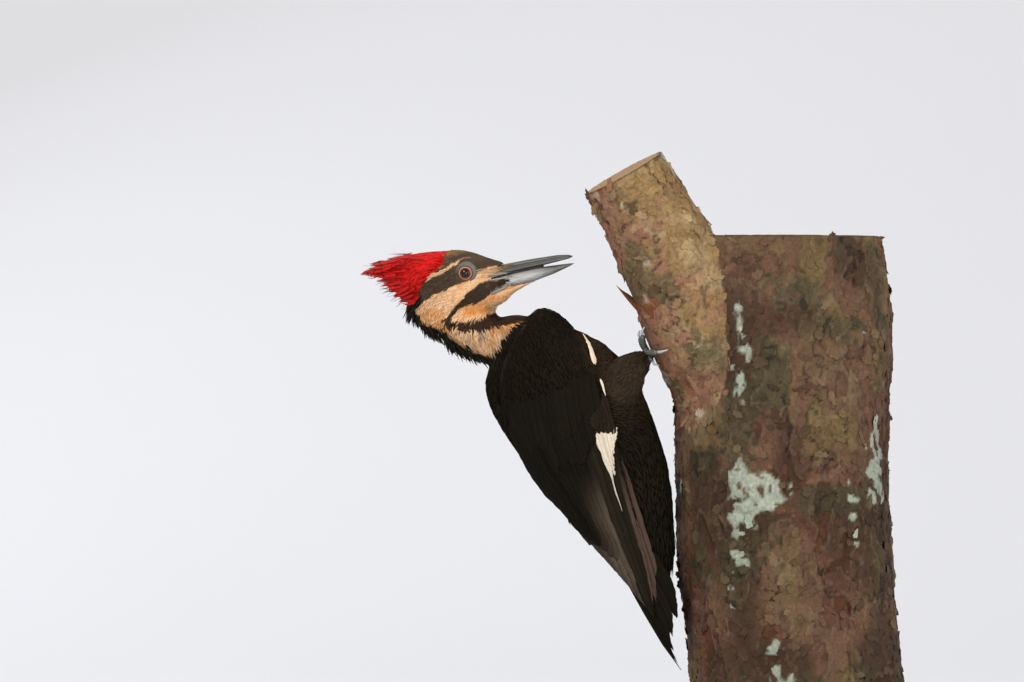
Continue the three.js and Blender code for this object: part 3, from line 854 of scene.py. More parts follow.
def ranged(tree, value, *ends):
    """A value carried from between the first two ends to between the last two."""
    keys = ("From Min", "From Max", "To Min", "To Max")
    return new_node(tree, "ShaderNodeMapRange", {"Value": value, **dict(zip(keys, ends))}, "Result")


def scaled(tree, vector, factor):
    return new_node(tree, "ShaderNodeVectorMath", {0: vector, "Scale": factor}, operation="SCALE")


def ramp(tree, value, *stops):
    """Colours blended along a value: the stops give (where, colour)."""
    out = new_node(tree, "ShaderNodeValToRGB", {"Fac": value}, "Color")
    elements = out.node.color_ramp.elements
    while len(elements) < len(stops):
        elements.new(0.5)
    for element, (at, colour) in zip(elements, stops):
        element.position = at
        element.color = (*colour, 1)
    return out


def relief(tree, height, strength, distance=0.2 * MM):
    inputs = {"Height": height, "Strength": strength, "Distance": distance}
    return new_node(tree, "ShaderNodeBump", inputs, "Normal")


def maths(tree, operation, *values):
    return new_node(tree, "ShaderNodeMath", dict(enumerate(values)), operation=operation)


def plumage_material(name, roughness=0.6, specular=0.07, pitch=9, slant=0.8, streaks=0.0, barbs=True):
    """Feather colour from the plumage attribute, with barbs running out from the shaft."""
    material, tree, shader = new_material(name)
    colour = attribute(tree, "plumage", "Color")
    if barbs:
        tint = attribute(tree, "tint")
        vane = new_node(tree, "ShaderNodeUVMap", {}, "UV", uv_map="vane")
        across = new_node(tree, "ShaderNodeSeparateXYZ", {0: vane}, "X")
        side = maths(tree, "ABSOLUTE", maths(tree, "SUBTRACT", across, 0.5))
        slope = maths(tree, "MULTIPLY_ADD", side, -slant, across.node.outputs["Y"])
        ripple = maths(tree, "MULTIPLY_ADD", tint, 7.0, maths(tree, "MULTIPLY", slope, pitch))
        grain = texture(tree, ripple, socket="W", noise_dimensions="1D")
        shaft = maths(tree, "LESS_THAN", side, 0.035)
        tone = maths(tree, "MULTIPLY_ADD", shaft, -0.25, ranged(tree, grain, 0.3, 0.7, 0.72, 1.22))
        if streaks:
            run = maths(tree, "MULTIPLY_ADD", tint, 29.0, maths(tree, "MULTIPLY", across, 11.0))
            lines = texture(tree, run, detail=3.0, socket="W", noise_dimensions="1D")
            tone = maths(tree, "MULTIPLY", tone, ranged(tree, lines, 0.3, 0.7, 1 - streaks, 1 + streaks))
        colour = scaled(tree, colour, tone)
        fill(shader, {"Normal": relief(tree, grain, 0.35)})
    fill(shader, {"Base Color": colour, "Roughness": roughness, "Specular IOR Level": specular})
    return material


# ---------------------------------------------------------------- long feathers on a curved chart


class WingChart:
    """The outside of a folded wing: s down the back, and a share from its front edge to its back."""

    def __init__(self, side, stations=64, steps=25):
        sign = -1 if side == "right" else 1
        tree = tree_of(*cad_solid("wing_" + side))
        self.s = np.linspace(-13, 213, stations)
        rows = []
        for s in self.s:
            axis = along(s, (-15, 3), (60, 8), (150, 8), (215, 2))
            hits = []
            for angle in np.radians(np.arange(-89, 90, 1.0)):
                way = back_way(0, sign * math.cos(angle), math.sin(angle))
                start = on_back(s, 0, axis) + way * 0.1
                hit = tree.ray_cast(Vector(start), Vector(-way), 0.1)[0]
                if hit is not None:
                    hits.append(hit)
            hits = np.array(hits)
            run = np.concatenate([[0], np.cumsum(np.linalg.norm(np.diff(hits, axis=0), axis=1))])
            even = np.linspace(0, run[-1], steps)
            rows.append(np.stack([np.interp(even, run, hits[:, i]) for i in range(3)], axis=1))
        grid = np.array(rows)
        for _ in range(3):
            grid[1:-1] += 0.5 * ((grid[:-2] + grid[2:]) / 2 - grid[1:-1])
            grid[:, 1:-1] += 0.5 * ((grid[:, :-2] + grid[:, 2:]) / 2 - grid[:, 1:-1])
        self.grid = grid
        self.arc = np.linalg.norm(np.diff(grid, axis=1), axis=2).sum(1)
        normal = np.cross(np.gradient(grid, axis=0), np.gradient(grid, axis=1))
        outward = (0, sign, 0) + back_way(0, 0, 0.3)
        self.normal = unit(normal * np.sign((normal * outward).sum(2, keepdims=True)))

    def breadth(self, s):
        return np.interp(s, self.s, self.arc)

    def at(self, s, share):
        place = np.clip((s - self.s[0]) / (self.s[1] - self.s[0]), 0, len(self.s) - 1.001)
        steps = self.grid.shape[1]
        across = share * (steps - 1)
        i = place.astype(int)
        j = np.clip(across.astype(int), 0, steps - 2)
        a = (place - i)[..., None]
        b = (across - j)[..., None]
        out = []
        for grid in (self.grid, self.normal):
            near = grid[i, j] * (1 - b) + grid[i, j + 1] * b
            far = grid[i + 1, j] * (1 - b) + grid[i + 1, j + 1] * b
            out.append(near * (1 - a) + far * a)
        return out[0], unit(out[1])


class EdgeChart:
    """A flat strip along a folded wing's front edge: s down the back, and its height in mm."""

    def __init__(self, side, wing):
        self.sign = dict(SIDES)[side]
        self.wing = wing

    def breadth(self, s):
        return np.full(np.shape(s), MM)

    def at(self, s, h):
        outer, _ = self.wing.at(s, np.full(np.shape(s), 0.12))
        y = outer[..., 1] / MM - self.sign * along(s, (90, 6), (120, 4), (150, 2.6), (215, 2.0))
        normal = np.zeros(outer.shape)
        normal[..., 1] = self.sign
        return on_back(s, y, h), normal


class TailChart:
    """The upper side of the closed tail: s down the back, and a share from -1 to 1 across it."""

    def half(self, s):
        return along(s, (140, 14), (150, 15), (170, 21), (190, 25), (215, 24), (250, 11), (256, 8)) * MM

    def breadth(self, s):
        return self.half(s)

    def at(self, s, share):
        def height(s, share):
            ridge = along(s, (140, 16), (150, 15), (170, 13), (190, 10.6), (206, 8.4), (230, 4.4), (250, -1), (256, -3))
            arch = along(s, (150, 15), (170, 27), (190, 28), (214, 25), (232, 15), (250, 4))
            return ridge - arch * np.abs(share) ** 1.7

        def place(s, share):
            return on_back(s, share * self.half(s) / MM, height(s, share))

        here = place(s, share)
        down = place(s + 1, share) - here
        over = place(s, share + 0.02) - place(s, share - 0.02)
        normal = unit(np.cross(over, down))
        return here, normal * np.sign((normal * back_way(0, 0, 1)).sum(-1, keepdims=True))


class LongFeathers:
    """Collects long feathers, each a closed vane with a raised shaft, into one mesh."""

    ACROSS = np.array([-1, -0.72, -0.42, -0.1, 0, 0.1, 0.42, 0.72, 1.0])

    def __init__(self, seed):
        self.rng = np.random.default_rng(seed)
        self.points, self.threes, self.tops, self.unders = [], [], [], []
        self.colours, self.vanes, self.tints = [], [], []
        self.count = 0

    def add(
        self, chart, start, end, width, height, tip="round", outer=0.5, bow=0.0, colour=BLACK, edge=1.5, shaft=1.0,
        rows=26, lift=0.1, fray=0.25, sink=0.8, roll=0.0, inner=None,
    ):
        """A feather from start to end on the chart, both (s, share); widths and heights in mm.
        outer is the part of its width on the side of the smaller share."""
        rng = self.rng
        v = np.linspace(0, 1, rows + 1)[1:-1]
        v = 1 - (1 - v) ** 1.25
        s = start[0] + (end[0] - start[0]) * v
        share = start[1] + (end[1] - start[1]) * v + bow * np.sin(v * math.pi)
        length = abs(end[0] - start[0])
        if tip == "round":
            near_end = np.clip((v * length - length + width * 0.8) / (width * 0.8), 0, 1)
            taper = np.sqrt(np.clip(1 - near_end**2, 0.02, 1))
        elif tip == "wedge":
            taper = np.clip(1.12 - v, 0.05, 1)
        elif tip == "point":
            taper = np.clip(1 - np.clip((v - 0.62) / 0.38, 0, 1) ** 1.7, 0.03, 1)
        else:
            taper = np.clip(1 - np.clip((v - 0.55) / 0.45, 0, 1) ** 1.3 * 0.94, 0.04, 1)
        girth = width * taper * (0.55 + 0.45 * step(v, 0, 0.2))
        wide = len(self.ACROSS)
        u = np.broadcast_to(self.ACROSS, (len(v), wide))
        frayed = rng.normal(0, fray, u.shape) * (np.abs(u) > 0.99)
        offset = u * girth[:, None] * np.where(u < 0, outer, 1 - outer) + frayed * np.sign(u)
        breadth = chart.breadth(s)[:, None] / MM
        place, normal = chart.at(np.broadcast_to(s[:, None], u.shape), share[:, None] + offset / breadth)
        rise = 0.22 * (1 - u**2) * np.minimum(taper, 1)[:, None] - roll * u
        rise = rise + np.where(np.abs(u) < 0.05, 0.28 * shaft, 0) * (1 - 0.6 * v)[:, None]
        level = height - sink * (1 - step(v, 0, 0.25)) + lift * v**2
        top = place + normal * ((level[:, None] + rise) * MM)[..., None]
        ends = []
        for (s_end, share_end), above in ((start, -sink), (end, lift)):
            spot, way = chart.at(np.array([s_end], float), np.array([share_end], float))
            ends.append(spot[0] + way[0] * (height + above) * MM)
        points = np.concatenate([[ends[0]], top.reshape(-1, 3), [ends[1]]])
        base = self.count
        last = base + len(points) - 1
        for i in range(wide - 1):
            self.threes.append((base, base + 2 + i, base + 1 + i))
            self.threes.append((last, last - wide + i, last - wide + i + 1))
        self.threes.append((base, base + 1, base + wide))
        self.threes.append((last, last - 1, last - wide))
        for a in range(base + 1, last - wide, wide):
            self.tops += [(a + i, a + i + 1, a + wide + i + 1, a + wide + i) for i in range(wide - 1)]
            self.unders.append((a + wide - 1, a, a + wide, a + 2 * wide - 1))
        self.count += len(points)
        self.points.append(points)

        tone = 1 + rng.normal(0, 0.08)
        side = np.abs(u)
        shade = 1 + (edge - 1) * step(side, 0.55, 1.0) * (0.4 + 0.6 * v)[:, None]
        shade = np.where(side < 0.05, shade * (1 - 0.2 * min(shaft, 1)), shade)
        shade = (shade * tone * (1 + rng.normal(0, 0.05, u.shape)))[..., None]
        if inner is not None:
            colour = mix_one(inner, colour, step(s, 98, 138)[:, None, None])
        colours = (colour * shade).reshape(-1, 3)
        self.colours.append(np.concatenate([colours[:1], colours, colours[-1:]]))
        vane = np.stack([0.5 + u / 2, np.broadcast_to((v * length / 13)[:, None], u.shape)], axis=-1).reshape(-1, 2)
        self.vanes.append(np.concatenate([[(0.5, 0)], vane, [(0.5, length / 13)]]))
        self.tints.append(np.full(len(points), rng.uniform(0, 1)))

    def make(self, name, slot, *nodes):
        made = len(self.points)
        columns = math.ceil(math.sqrt(made * 0.35))
        baked = []
        for i, vane in enumerate(self.vanes):
            cell = np.array([i % columns, i // columns])
            spread = vane / (1, vane[:, 1].max())
            baked.append((cell + 0.04 + spread * 0.92) / (columns, math.ceil(made / columns)))
        make_piece(
            name, np.concatenate(self.points), [np.array(k) for k in (self.threes, self.tops, self.unders)], slot,
            bpy.data.materials["flight_plumage"], *nodes, paint=("plumage", np.concatenate(self.colours)),
            values={"tint": np.concatenate(self.tints)},
            maps={"OFBake": np.concatenate(baked), "vane": np.concatenate(self.vanes)}, smooth=[True, True, False],
        )


def make_wing(side, seed):
    chart = WingChart(side)
    wing = LongFeathers(seed)
    rng = np.random.default_rng(seed)
    grey = linear((0.33, 0.29, 0.245))
    rosy = linear((0.28, 0.225, 0.195))
    under = BLACK * 1.05

    # primaries, the lowest in the stack, whose tips step back up the rear edge from the wing's tip
    front = EdgeChart(side, chart)
    for i, (first, last, width) in enumerate((((86, -13.2), (206, -6.2), 8.5), ((84, -9), (212, -2.4), 9.5))):
        wing.add(
            front, first, last, width, 0.3 * i, tip="point", outer=0.4, colour=rosy, edge=1.2, rows=34, roll=0.2,
            inner=rosy * 0.55, sink=2.5,
        )
    primaries = (
        ((203, 0.24), rosy), ((210, 0.34), under), ((215, 0.46), under), ((213, 0.56), under * 1.2),
        ((205, 0.66), grey), ((195, 0.74), grey), ((184, 0.8), grey * 0.9), ((172, 0.85), grey * 0.7),
        ((160, 0.88), grey * 0.45),
    )
    for i, (tip_at, tone) in enumerate(primaries):
        t = i / (len(primaries) - 1)
        wing.add(
            chart, (68 + 3 * i, 0.05 + 0.5 * t), tip_at, 11.5 + 2.5 * t, -1.5 + 0.05 * i, tip="point", outer=0.36,
            bow=-0.03, colour=tone, edge=1.25, rows=34, roll=0.3, inner=BLACK * 1.2,
        )
    # secondaries, whose edges make long lines down the wing
    for i in range(8):
        t = i / 7
        wing.add(
            chart, (50 + 3 * i, 0.32 + 0.44 * t), (164 - 26 * t + rng.uniform(-2, 2), 0.62 + 0.27 * t), 13,
            -1.0 + 0.04 * i, outer=0.45, bow=-0.02, colour=mix_one(grey * 0.55, BLACK * 0.58, min(1, 2.2 * t)),
            edge=1.15, rows=30, roll=0.3, inner=BLACK * 0.62,
        )
    # the inner feathers that cover them from the back
    for i in range(5):
        t = i / 4
        wing.add(
            chart, (38 + 2 * i, 0.7 + 0.2 * t), (140 - 26 * t + rng.uniform(-2, 2), 0.8 + 0.12 * t), 14.5,
            -0.45 + 0.05 * i, outer=0.5, colour=BLACK * 0.55, edge=1.1, rows=28, roll=0.25,
        )
    # greater coverts in two rows, and the shorter ones over the bases of the primaries
    for row, (first, reach, count) in enumerate(((48, 38, 13), (32, 34, 14))):
        for i in range(count):
            t = i / (count - 1)
            end = (first + reach + 9 * t + rng.uniform(-6, 6), 0.12 + 0.74 * t)
            width = 11 + rng.uniform(-1, 1.5) - row
            tone = mix_one(BLACK * 0.62, BLACK * 1.15, rng.uniform(0, 0.2) + 0.35 * max(0, 0.5 - t))
            wing.add(
                chart, (first + 4 * math.sin(t * 3), 0.08 + 0.76 * t), end, width, -0.5 + 0.3 * row + 0.01 * i,
                colour=tone, edge=1.0, shaft=0, rows=14, lift=-0.1, fray=0.5, roll=0.15, sink=1.4,
            )
    for i in range(5):
        t = i / 4
        wing.add(
            chart, (52 + 3 * i, 0.02 + 0.11 * t), (83 - 2.1 * i, 0.03 + 0.12 * t), 7.5, -0.3 + 0.12 * i,
            colour=linear((0.135, 0.11, 0.08)), edge=1.1, rows=12, fray=0.4, roll=0.2,
        )
    wing.make("wing_feathers_" + side, "black_plumage", "wing_" + side)


def make_white_marks(side, seed):
    """The white bases of the primaries and the slips of white wing lining at the front edge."""
    chart = WingChart(side)
    marks = LongFeathers(seed)
    ends = (88, 95, 102, 109, 117)
    for i, reach in enumerate(ends):
        t = i / (len(ends) - 1)
        marks.add(
            chart, (77 - 3 * t, 0.15 * t), (reach, 0.035 + 0.135 * t), 5.0 - 1.4 * t, -0.3 + 0.1 * i, tip="spike",
            colour=WHITE * 0.9, edge=1.0, rows=16, fray=0.5,
        )
    cream = mix_one(WHITE, CREAM, 0.3)
    marks.add(chart, (104, 0.16), (134, 0.188), 0.9, 0.3, "spike", colour=WHITE * 0.75, edge=1.0, rows=16, fray=0.1)
    marks.add(chart, (34, -0.01), (11, -0.015), 5.2, 0.8, "wedge", colour=cream, edge=1.0, rows=14, fray=0.2)
    marks.add(chart, (43, -0.01), (56, -0.008), 1.8, 0.4, "spike", colour=WHITE, edge=1.0, rows=10, fray=0.15)
    marks.make("white_marks_" + side, "cream_plumage")


def make_tail(seed):
    chart = TailChart()
    tail = LongFeathers(seed)
    pairs = 5
    for i in reversed(range(pairs)):
        t = (i + 0.5) / (pairs + 0.5)
        for _, sign in SIDES:
            tail.add(
                chart, (146, sign * t * 0.9), (254 - 50 * t**1.4, sign * t), 10.5 - t,
                0.9 - 0.28 * i + (0.12 if sign > 0 else 0), tip="point", colour=BLACK * (0.75 - 0.12 * t), edge=1.25,
                shaft=2.2, rows=36, fray=0.15,
            )
    for i in range(9):
        t = i / 8 * 2 - 1
        end = (166 - 6 * abs(t), t * 0.8)
        tail.add(chart, (140, t * 0.75), end, 10, 1.6 + 0.1 * i, colour=BLACK, edge=1.2, rows=12)
    tail.make("tail_feathers", "black_plumage", "tail")


# ---------------------------------------------------------------- bill


def bill_tube(upper, lower, side, end=75.2, rings=70, around=44, ridge=0.0):
    """A closed horn tube along the bill, and each point's share along it and how far up it faces."""
    start = 17.4
    f = start + (end - start) * (1 - (1 - np.linspace(0, 1, rings)) ** 1.3)
    angle = np.linspace(0, 2 * math.pi, around, endpoint=False)
    close = np.sqrt(np.clip((end - f) / ((end - start) * 0.05), 0.02, 1))
    middle = (upper(f) + lower(f)) / 2
    half = (upper(f) - lower(f)) / 2 * close
    cosine, sine = np.cos(angle), np.sin(angle)
    y = np.sign(cosine) * np.abs(cosine) ** 0.85 * (side(f) * close)[:, None]
    n = middle[:, None] + np.sign(sine) * np.abs(sine) ** 0.9 * half[:, None]
    n = n + ridge * np.exp(-((angle - math.pi / 2) / 0.22) ** 2)[None] * close[:, None]
    tube = on_head(np.broadcast_to(f[:, None], y.shape), y, n).reshape(-1, 3)
    ends = on_head(np.array([start - 0.2, end + 0.15]), np.zeros(2), np.array([middle[0], middle[-1]]))
    caps = np.stack([fan(len(tube), 0, around), fan(len(tube) + 1, len(tube) - around, around)[:, [0, 2, 1]]], axis=1)
    groups = [caps.reshape(-1, 3), ring_faces(rings, around)]
    return np.concatenate([tube, ends]), groups, np.repeat(np.linspace(0, 1, rings), around), np.tile(sine, rings)


def culmen(f):
    return along(f, (16, -1), (28, -0.7), (47, -1.3), (64.5, -2.5), (75, -4.4))


def upper_edge(f):
    return along(f, (16, -7.0), (40, -7.3), (52, -7.2), (75, -6.4))


def lower_edge(f):
    return along(f, (16, -7.3), (40, -7.7), (52, -7.9), (60, -8.6), (75, -10.0))


def gonys(f):
    return along(f, (16, -17.6), (30, -17.4), (47, -16.3), (60, -14.4), (68, -12.6), (75, -10.8))


def upper_side(f):
    return along(f, (16, 7.2), (30, 6.4), (55, 3.6), (75, 1.3))


def lower_side(f):
    return along(f, (16, 7.0), (30, 6.0), (55, 3.2), (75, 1.1))


def horn_material(name, roughness):
    """Polished horn: the painted colour with fine streaks along it."""
    material, tree, shader = new_material(name)
    streak = texture(tree, mapped(tree, object_place(tree), (90, 1400, 1400), (0, HEAD_PITCH, 0)), detail=3.0)
    tone = ranged(tree, streak, 0.3, 0.7, 0.72, 1.25)
    colour = scaled(tree, attribute(tree, "horn", "Color"), tone)
    fill(shader, {"Base Color": colour, "Roughness": roughness, "Normal": relief(tree, streak, 0.3)})
    return material


def make_bill():
    horn = horn_material("bill_horn", 0.32)
    slate = linear((0.175, 0.175, 0.16))
    pale = linear((0.63, 0.625, 0.615))
    ridge_grey = linear((0.50, 0.50, 0.475))
    dark = linear((0.10, 0.098, 0.09))

    def finished(name, points, groups, colour, material, *nodes):
        ends = np.concatenate([colour, colour[:1], colour[-1:]])
        make_piece(name, points, groups, "bill_horn", material, *nodes, paint=("horn", ends))

    points, groups, share, up = bill_tube(culmen, upper_edge, upper_side, ridge=0.25)
    colour = np.tile(slate, (len(share), 1))
    # a painted highlight along the upper side of the upper mandible
    colour = mix(colour, ridge_grey, np.exp(-((up - 0.55) / 0.16) ** 2) * 0.75)
    colour = mix(colour, dark, np.exp(-((up - 0.12) / 0.2) ** 2) * 0.5)
    colour = mix(colour, ridge_grey * 1.1, np.exp(-((up + 0.45) / 0.16) ** 2) * (0.5 + 0.4 * share))
    colour = mix(colour, dark, step(up, 0.82, 1.0) * 0.6)
    colour = mix(colour, pale, (1 - step(share, 0.0, 0.35)) * step(-up, 0.1, 0.5) * 0.5)
    finished("bill_upper_horn", points, groups, colour, horn, "bill_upper")

    points, groups, share, up = bill_tube(lower_edge, gonys, lower_side)
    colour = np.tile(pale, (len(share), 1))
    colour = mix(colour * 0.92, ridge_grey * 0.26, step(share, 0.36, 0.7) * 0.9)
    colour = mix(colour, ridge_grey * 0.55, step(-up, 0.1, 0.8) * (1 - step(share, 0.2, 0.6)) * 0.6)
    colour = mix(colour, dark, step(up, 0.35, 0.85) * (0.2 + 0.75 * step(share, 0.35, 0.7)))
    colour = mix(colour, dark, step(share, 0.9, 1.0) * 0.5)
    finished("bill_lower_horn", points, groups, colour, horn, "bill_lower")

    def overlap(f):
        return along(f, (16, 1.2), (50, 0.5))

    points, groups, share, up = bill_tube(
        lambda f: upper_edge(f) + overlap(f), lambda f: lower_edge(f) - overlap(f), lambda f: lower_side(f) * 0.86,
        end=54.5, rings=24, around=20,
    )
    # painted shade: the lining is nearly black-red, for the shade in the gap between the mandibles
    colour = np.tile(linear((0.16, 0.12, 0.12)), (len(share), 1))
    finished("mouth_lining", points, groups, colour, horn_material("mouth_skin", 0.5))


# ---------------------------------------------------------------- eyes

IRIS_RADIUS = 4.95
EYE_SHIFT = (0.35, -1.1)
ORBIT_RADIUS = 7.5
EYE_RADIUS = 6.0
EYE_SIDE = 11.4
EYE_STEPS = 72


def eye_material():
    """A wet eye: black pupil, dark red inner iris and pale buff outer iris, read off its radius."""
    material, tree, shader = new_material("eye_gloss")
    radius = attribute(tree, "radius")
    turn = maths(tree, "MULTIPLY", attribute(tree, "turn"), 14.0)
    spot = new_node(tree, "ShaderNodeCombineXYZ", {"X": turn, "Y": maths(tree, "MULTIPLY", radius, 2.0)})
    streak = texture(tree, spot, noise_dimensions="2D")
    ripple = maths(tree, "MULTIPLY_ADD", maths(tree, "SUBTRACT", streak, 0.5), 0.09, radius)
    colour = ramp(
        tree, ripple, (0.0, (0.008, 0.009, 0.012)), (0.52, (0.006, 0.005, 0.006)), (0.59, (0.05, 0.01, 0.006)),
        (0.75, (0.19, 0.04, 0.018)), (0.81, (0.52, 0.21, 0.10)), (0.87, (0.60, 0.32, 0.19)),
        (0.93, (0.08, 0.045, 0.035)),
    )
    fill(shader, {"Base Color": colour, "Roughness": 0.6, "Specular IOR Level": 0.0})
    fill(shader, {"Coat Weight": 0.7, "Coat IOR": 1.42, "Coat Roughness": 0.02})
    return material


def on_eye(radius, sign, height, turn):
    """A place round an eye's axis, in mm: sign is 1 for the left eye."""
    return on_head(EYE_SHIFT[0] + radius * np.cos(turn), sign * height, EYE_SHIFT[1] + radius * np.sin(turn))


def outward(faces, sign):
    """Faces made for the right eye, turned over for the left."""
    return faces if sign < 0 else faces[:, ::-1]


def make_eyeball(side, sign):
    radii = np.concatenate([np.linspace(0.3, 5.2, 30), np.linspace(5.35, 5.95, 6)])
    rings = len(radii)
    turn = np.linspace(0, 2 * math.pi, EYE_STEPS, endpoint=False)
    bulge = 0.55 * np.clip(1 - (radii / 4.9) ** 2, 0, 1)
    heights = EYE_SIDE + np.sqrt(EYE_RADIUS**2 - radii**2) - 0.35 + bulge * 0.8
    rows = on_eye(radii[:, None], sign, heights[:, None], turn[None]).reshape(-1, 3)
    front = on_eye(0, sign, EYE_SIDE + EYE_RADIUS - 0.35 + 0.44, 0)
    back = on_eye(0, sign, EYE_SIDE - 1, 0)
    last = len(rows)
    caps = [
        outward(fan(last, 0, EYE_STEPS), sign),
        outward(fan(last + 1, last - EYE_STEPS, EYE_STEPS)[:, [0, 2, 1]], sign),
    ]
    angle = np.concatenate([np.tile(turn, rings), [0, 0]])
    make_piece(
        "eyeball_" + side, np.concatenate([rows, [front], [back]]),
        [np.concatenate(caps), outward(ring_faces(rings, EYE_STEPS), sign)], "eye",
        bpy.data.materials.get("eye_gloss") or eye_material(), "eye_" + side,
        values={
            "radius": np.concatenate([np.repeat(radii / IRIS_RADIUS, EYE_STEPS), [0, 1.3]]),
            "turn": np.abs(angle - math.pi),
        },
    )


def make_eyelids(side, sign):
    """The ring of bare skin round an eye, and the rims of its lids."""
    radii = np.array([4.75, 4.9, 5.03, 5.18, 5.33, 5.5, 5.72, 6.0, 6.3, 6.6, 6.9, 7.2, 7.45, 7.7])
    ball = EYE_SIDE + np.sqrt(EYE_RADIUS**2 - radii[:4] ** 2)
    turn = np.linspace(0, 2 * math.pi, EYE_STEPS, endpoint=False)
    shape = 0.985 + 0.19 * np.cos(turn - 0.85) + 0.015 * np.sin(turn * 7)
    share = np.clip((radii - 5.05) / (ORBIT_RADIUS - 5.05), 0, 1)
    heights = np.empty((len(radii), EYE_STEPS))
    for i, angle in enumerate(turn):
        start = on_eye(ORBIT_RADIUS * shape[i], sign, 30.0, angle)
        hit = BED["tree"].ray_cast(Vector(start), Vector((0, -sign, 0)), 0.03)[0]
        level = abs(hit.y) / MM if hit is not None else 15.0
        heights[:, i] = ball[3] * (1 - share) + level * share + 0.45 * np.sin(share * math.pi) ** 0.7
    heights[0] = ball[0] - 0.9
    heights[1] = ball[1] - 0.15
    heights[2] = ball[2] + 0.2
    heights[3:5] += 0.42
    heights[5] += 0.15
    folds = radii[5:-2, None]
    heights[5:-2] += 0.09 * np.sin(folds * 9.0) + 0.06 * np.sin(turn * 17 + folds * 2)
    heights[-1] -= 0.8
    stretch = 1 + (shape - 1)[None] * step(radii, 5.0, 7.2)[:, None]
    points = on_eye(radii[:, None] * stretch, sign, heights, turn[None]).reshape(-1, 3)
    f, _, n = head_view(points)
    share = np.repeat(radii, EYE_STEPS)
    colour = np.tile(linear((0.37, 0.355, 0.33)), (len(points), 1))
    # painted light: the ring is lighter towards its front and top, darker behind and below
    colour = colour * (0.38 + 0.9 * step(f * 0.8 + n * 0.6, -4, 8))[:, None]
    colour = mix(colour, DARK_BROWN * 0.8, step(share, 6.5, 7.5) * 0.8)
    colour = mix(colour, linear((0.12, 0.085, 0.07)), 1 - step(share, 4.95, 5.35))
    colour = colour * (1 + 0.18 * noise(points, 0.0006, 3))[:, None]
    make_piece(
        "eyelids_" + side, points, [outward(ring_faces(len(radii), EYE_STEPS), sign)], "foot_skin",
        bpy.data.materials.get("bare_skin") or bare_skin_material(), paint=("skin", colour),
    )


def bare_skin_material():
    """Bare leathery skin, with fine creases."""
    material, tree, shader = new_material("bare_skin")
    crease = new_node(
        tree, "ShaderNodeTexVoronoi", {"Vector": object_place(tree), "Scale": 1900}, "Distance",
        feature="DISTANCE_TO_EDGE",
    )
    tone = ranged(tree, crease, 0.0, 0.12, 0.6, 1.08)
    colour = scaled(tree, attribute(tree, "skin", "Color"), tone)
    fill(shader, {"Base Color": colour, "Roughness": 0.5, "Normal": relief(tree, tone, 0.4)})
    return material


# ---------------------------------------------------------------- perch

BRANCH_LINE = np.array([
    (28, 6, 205), (6.9, 0, 262.5), (-13.8, -6, 307.4), (-29.7, -12, 346), (-41.9, -16, 374.3), (-78, -23, 439),
]) * MM
TRUNK_MIDDLE = np.array((31.0, 16.0)) * MM
TRUNK_RADIUS = 76 * MM
BRANCH_RADIUS = 35 * MM
BRANCH_LEAN = math.radians(27)
TRUNK_TOP = 0.396
FAR = 9.0
OCHRE = linear((0.66, 0.53, 0.345))
PALE_TAN = linear((0.75, 0.64, 0.47))
PINKISH = linear((0.655, 0.475, 0.37))
OLIVE = linear((0.43, 0.40, 0.27))
RUST = linear((0.60, 0.35, 0.21))
UMBER = linear((0.34, 0.245, 0.16))
CRACK_SHADE = linear((0.19, 0.135, 0.085))
LICHEN = linear((0.74, 0.78, 0.70))


def from_branch(points):
    """How far each point is from the branch's middle line."""
    away = np.full(len(points), FAR)
    for a, b in zip(BRANCH_LINE, BRANCH_LINE[1:]):
        run = b - a
        t = np.clip((points - a) @ run / (run @ run), 0, 1)
        away = np.minimum(away, np.linalg.norm(points - a - t[:, None] * run, axis=1))
    return away


def terraces(points, size, seed, layers):
    """Scaly layers: which layer lies bare at each point, from 0, the deepest, and how near its edge is."""
    rough = noise(points, size, seed) + 0.5 * noise(points, size * 0.42, seed + 1)
    rough = rough + 0.22 * noise(points, size * 0.17, seed + 2)
    level = (rough + 0.95) / 1.9 * layers
    whole = np.floor(level)
    part = level - whole
    return np.clip(whole + step(part, 0.0, 0.14), 0, layers), np.minimum(part, 0.5)


def grain_view(points):
    """The points with z along the grain, and squeezed so that plates come out longer than wide."""
    on_branch = from_branch(points) < BRANCH_RADIUS + 6 * MM
    along_branch = points[:, 2] * math.cos(BRANCH_LEAN) - points[:, 0] * math.sin(BRANCH_LEAN)
    across_branch = points[:, 0] * math.cos(BRANCH_LEAN) + points[:, 2] * math.sin(BRANCH_LEAN)
    out = points.copy()
    out[:, 2] = np.where(on_branch, along_branch * 1.15, points[:, 2] * 0.68)
    out[:, 0] = np.where(on_branch, across_branch + 1.0, points[:, 0])
    warp = np.stack([noise(points, 0.014, 31 + k) for k in range(3)], axis=1)
    return out + warp * 0.0028, on_branch, across_branch


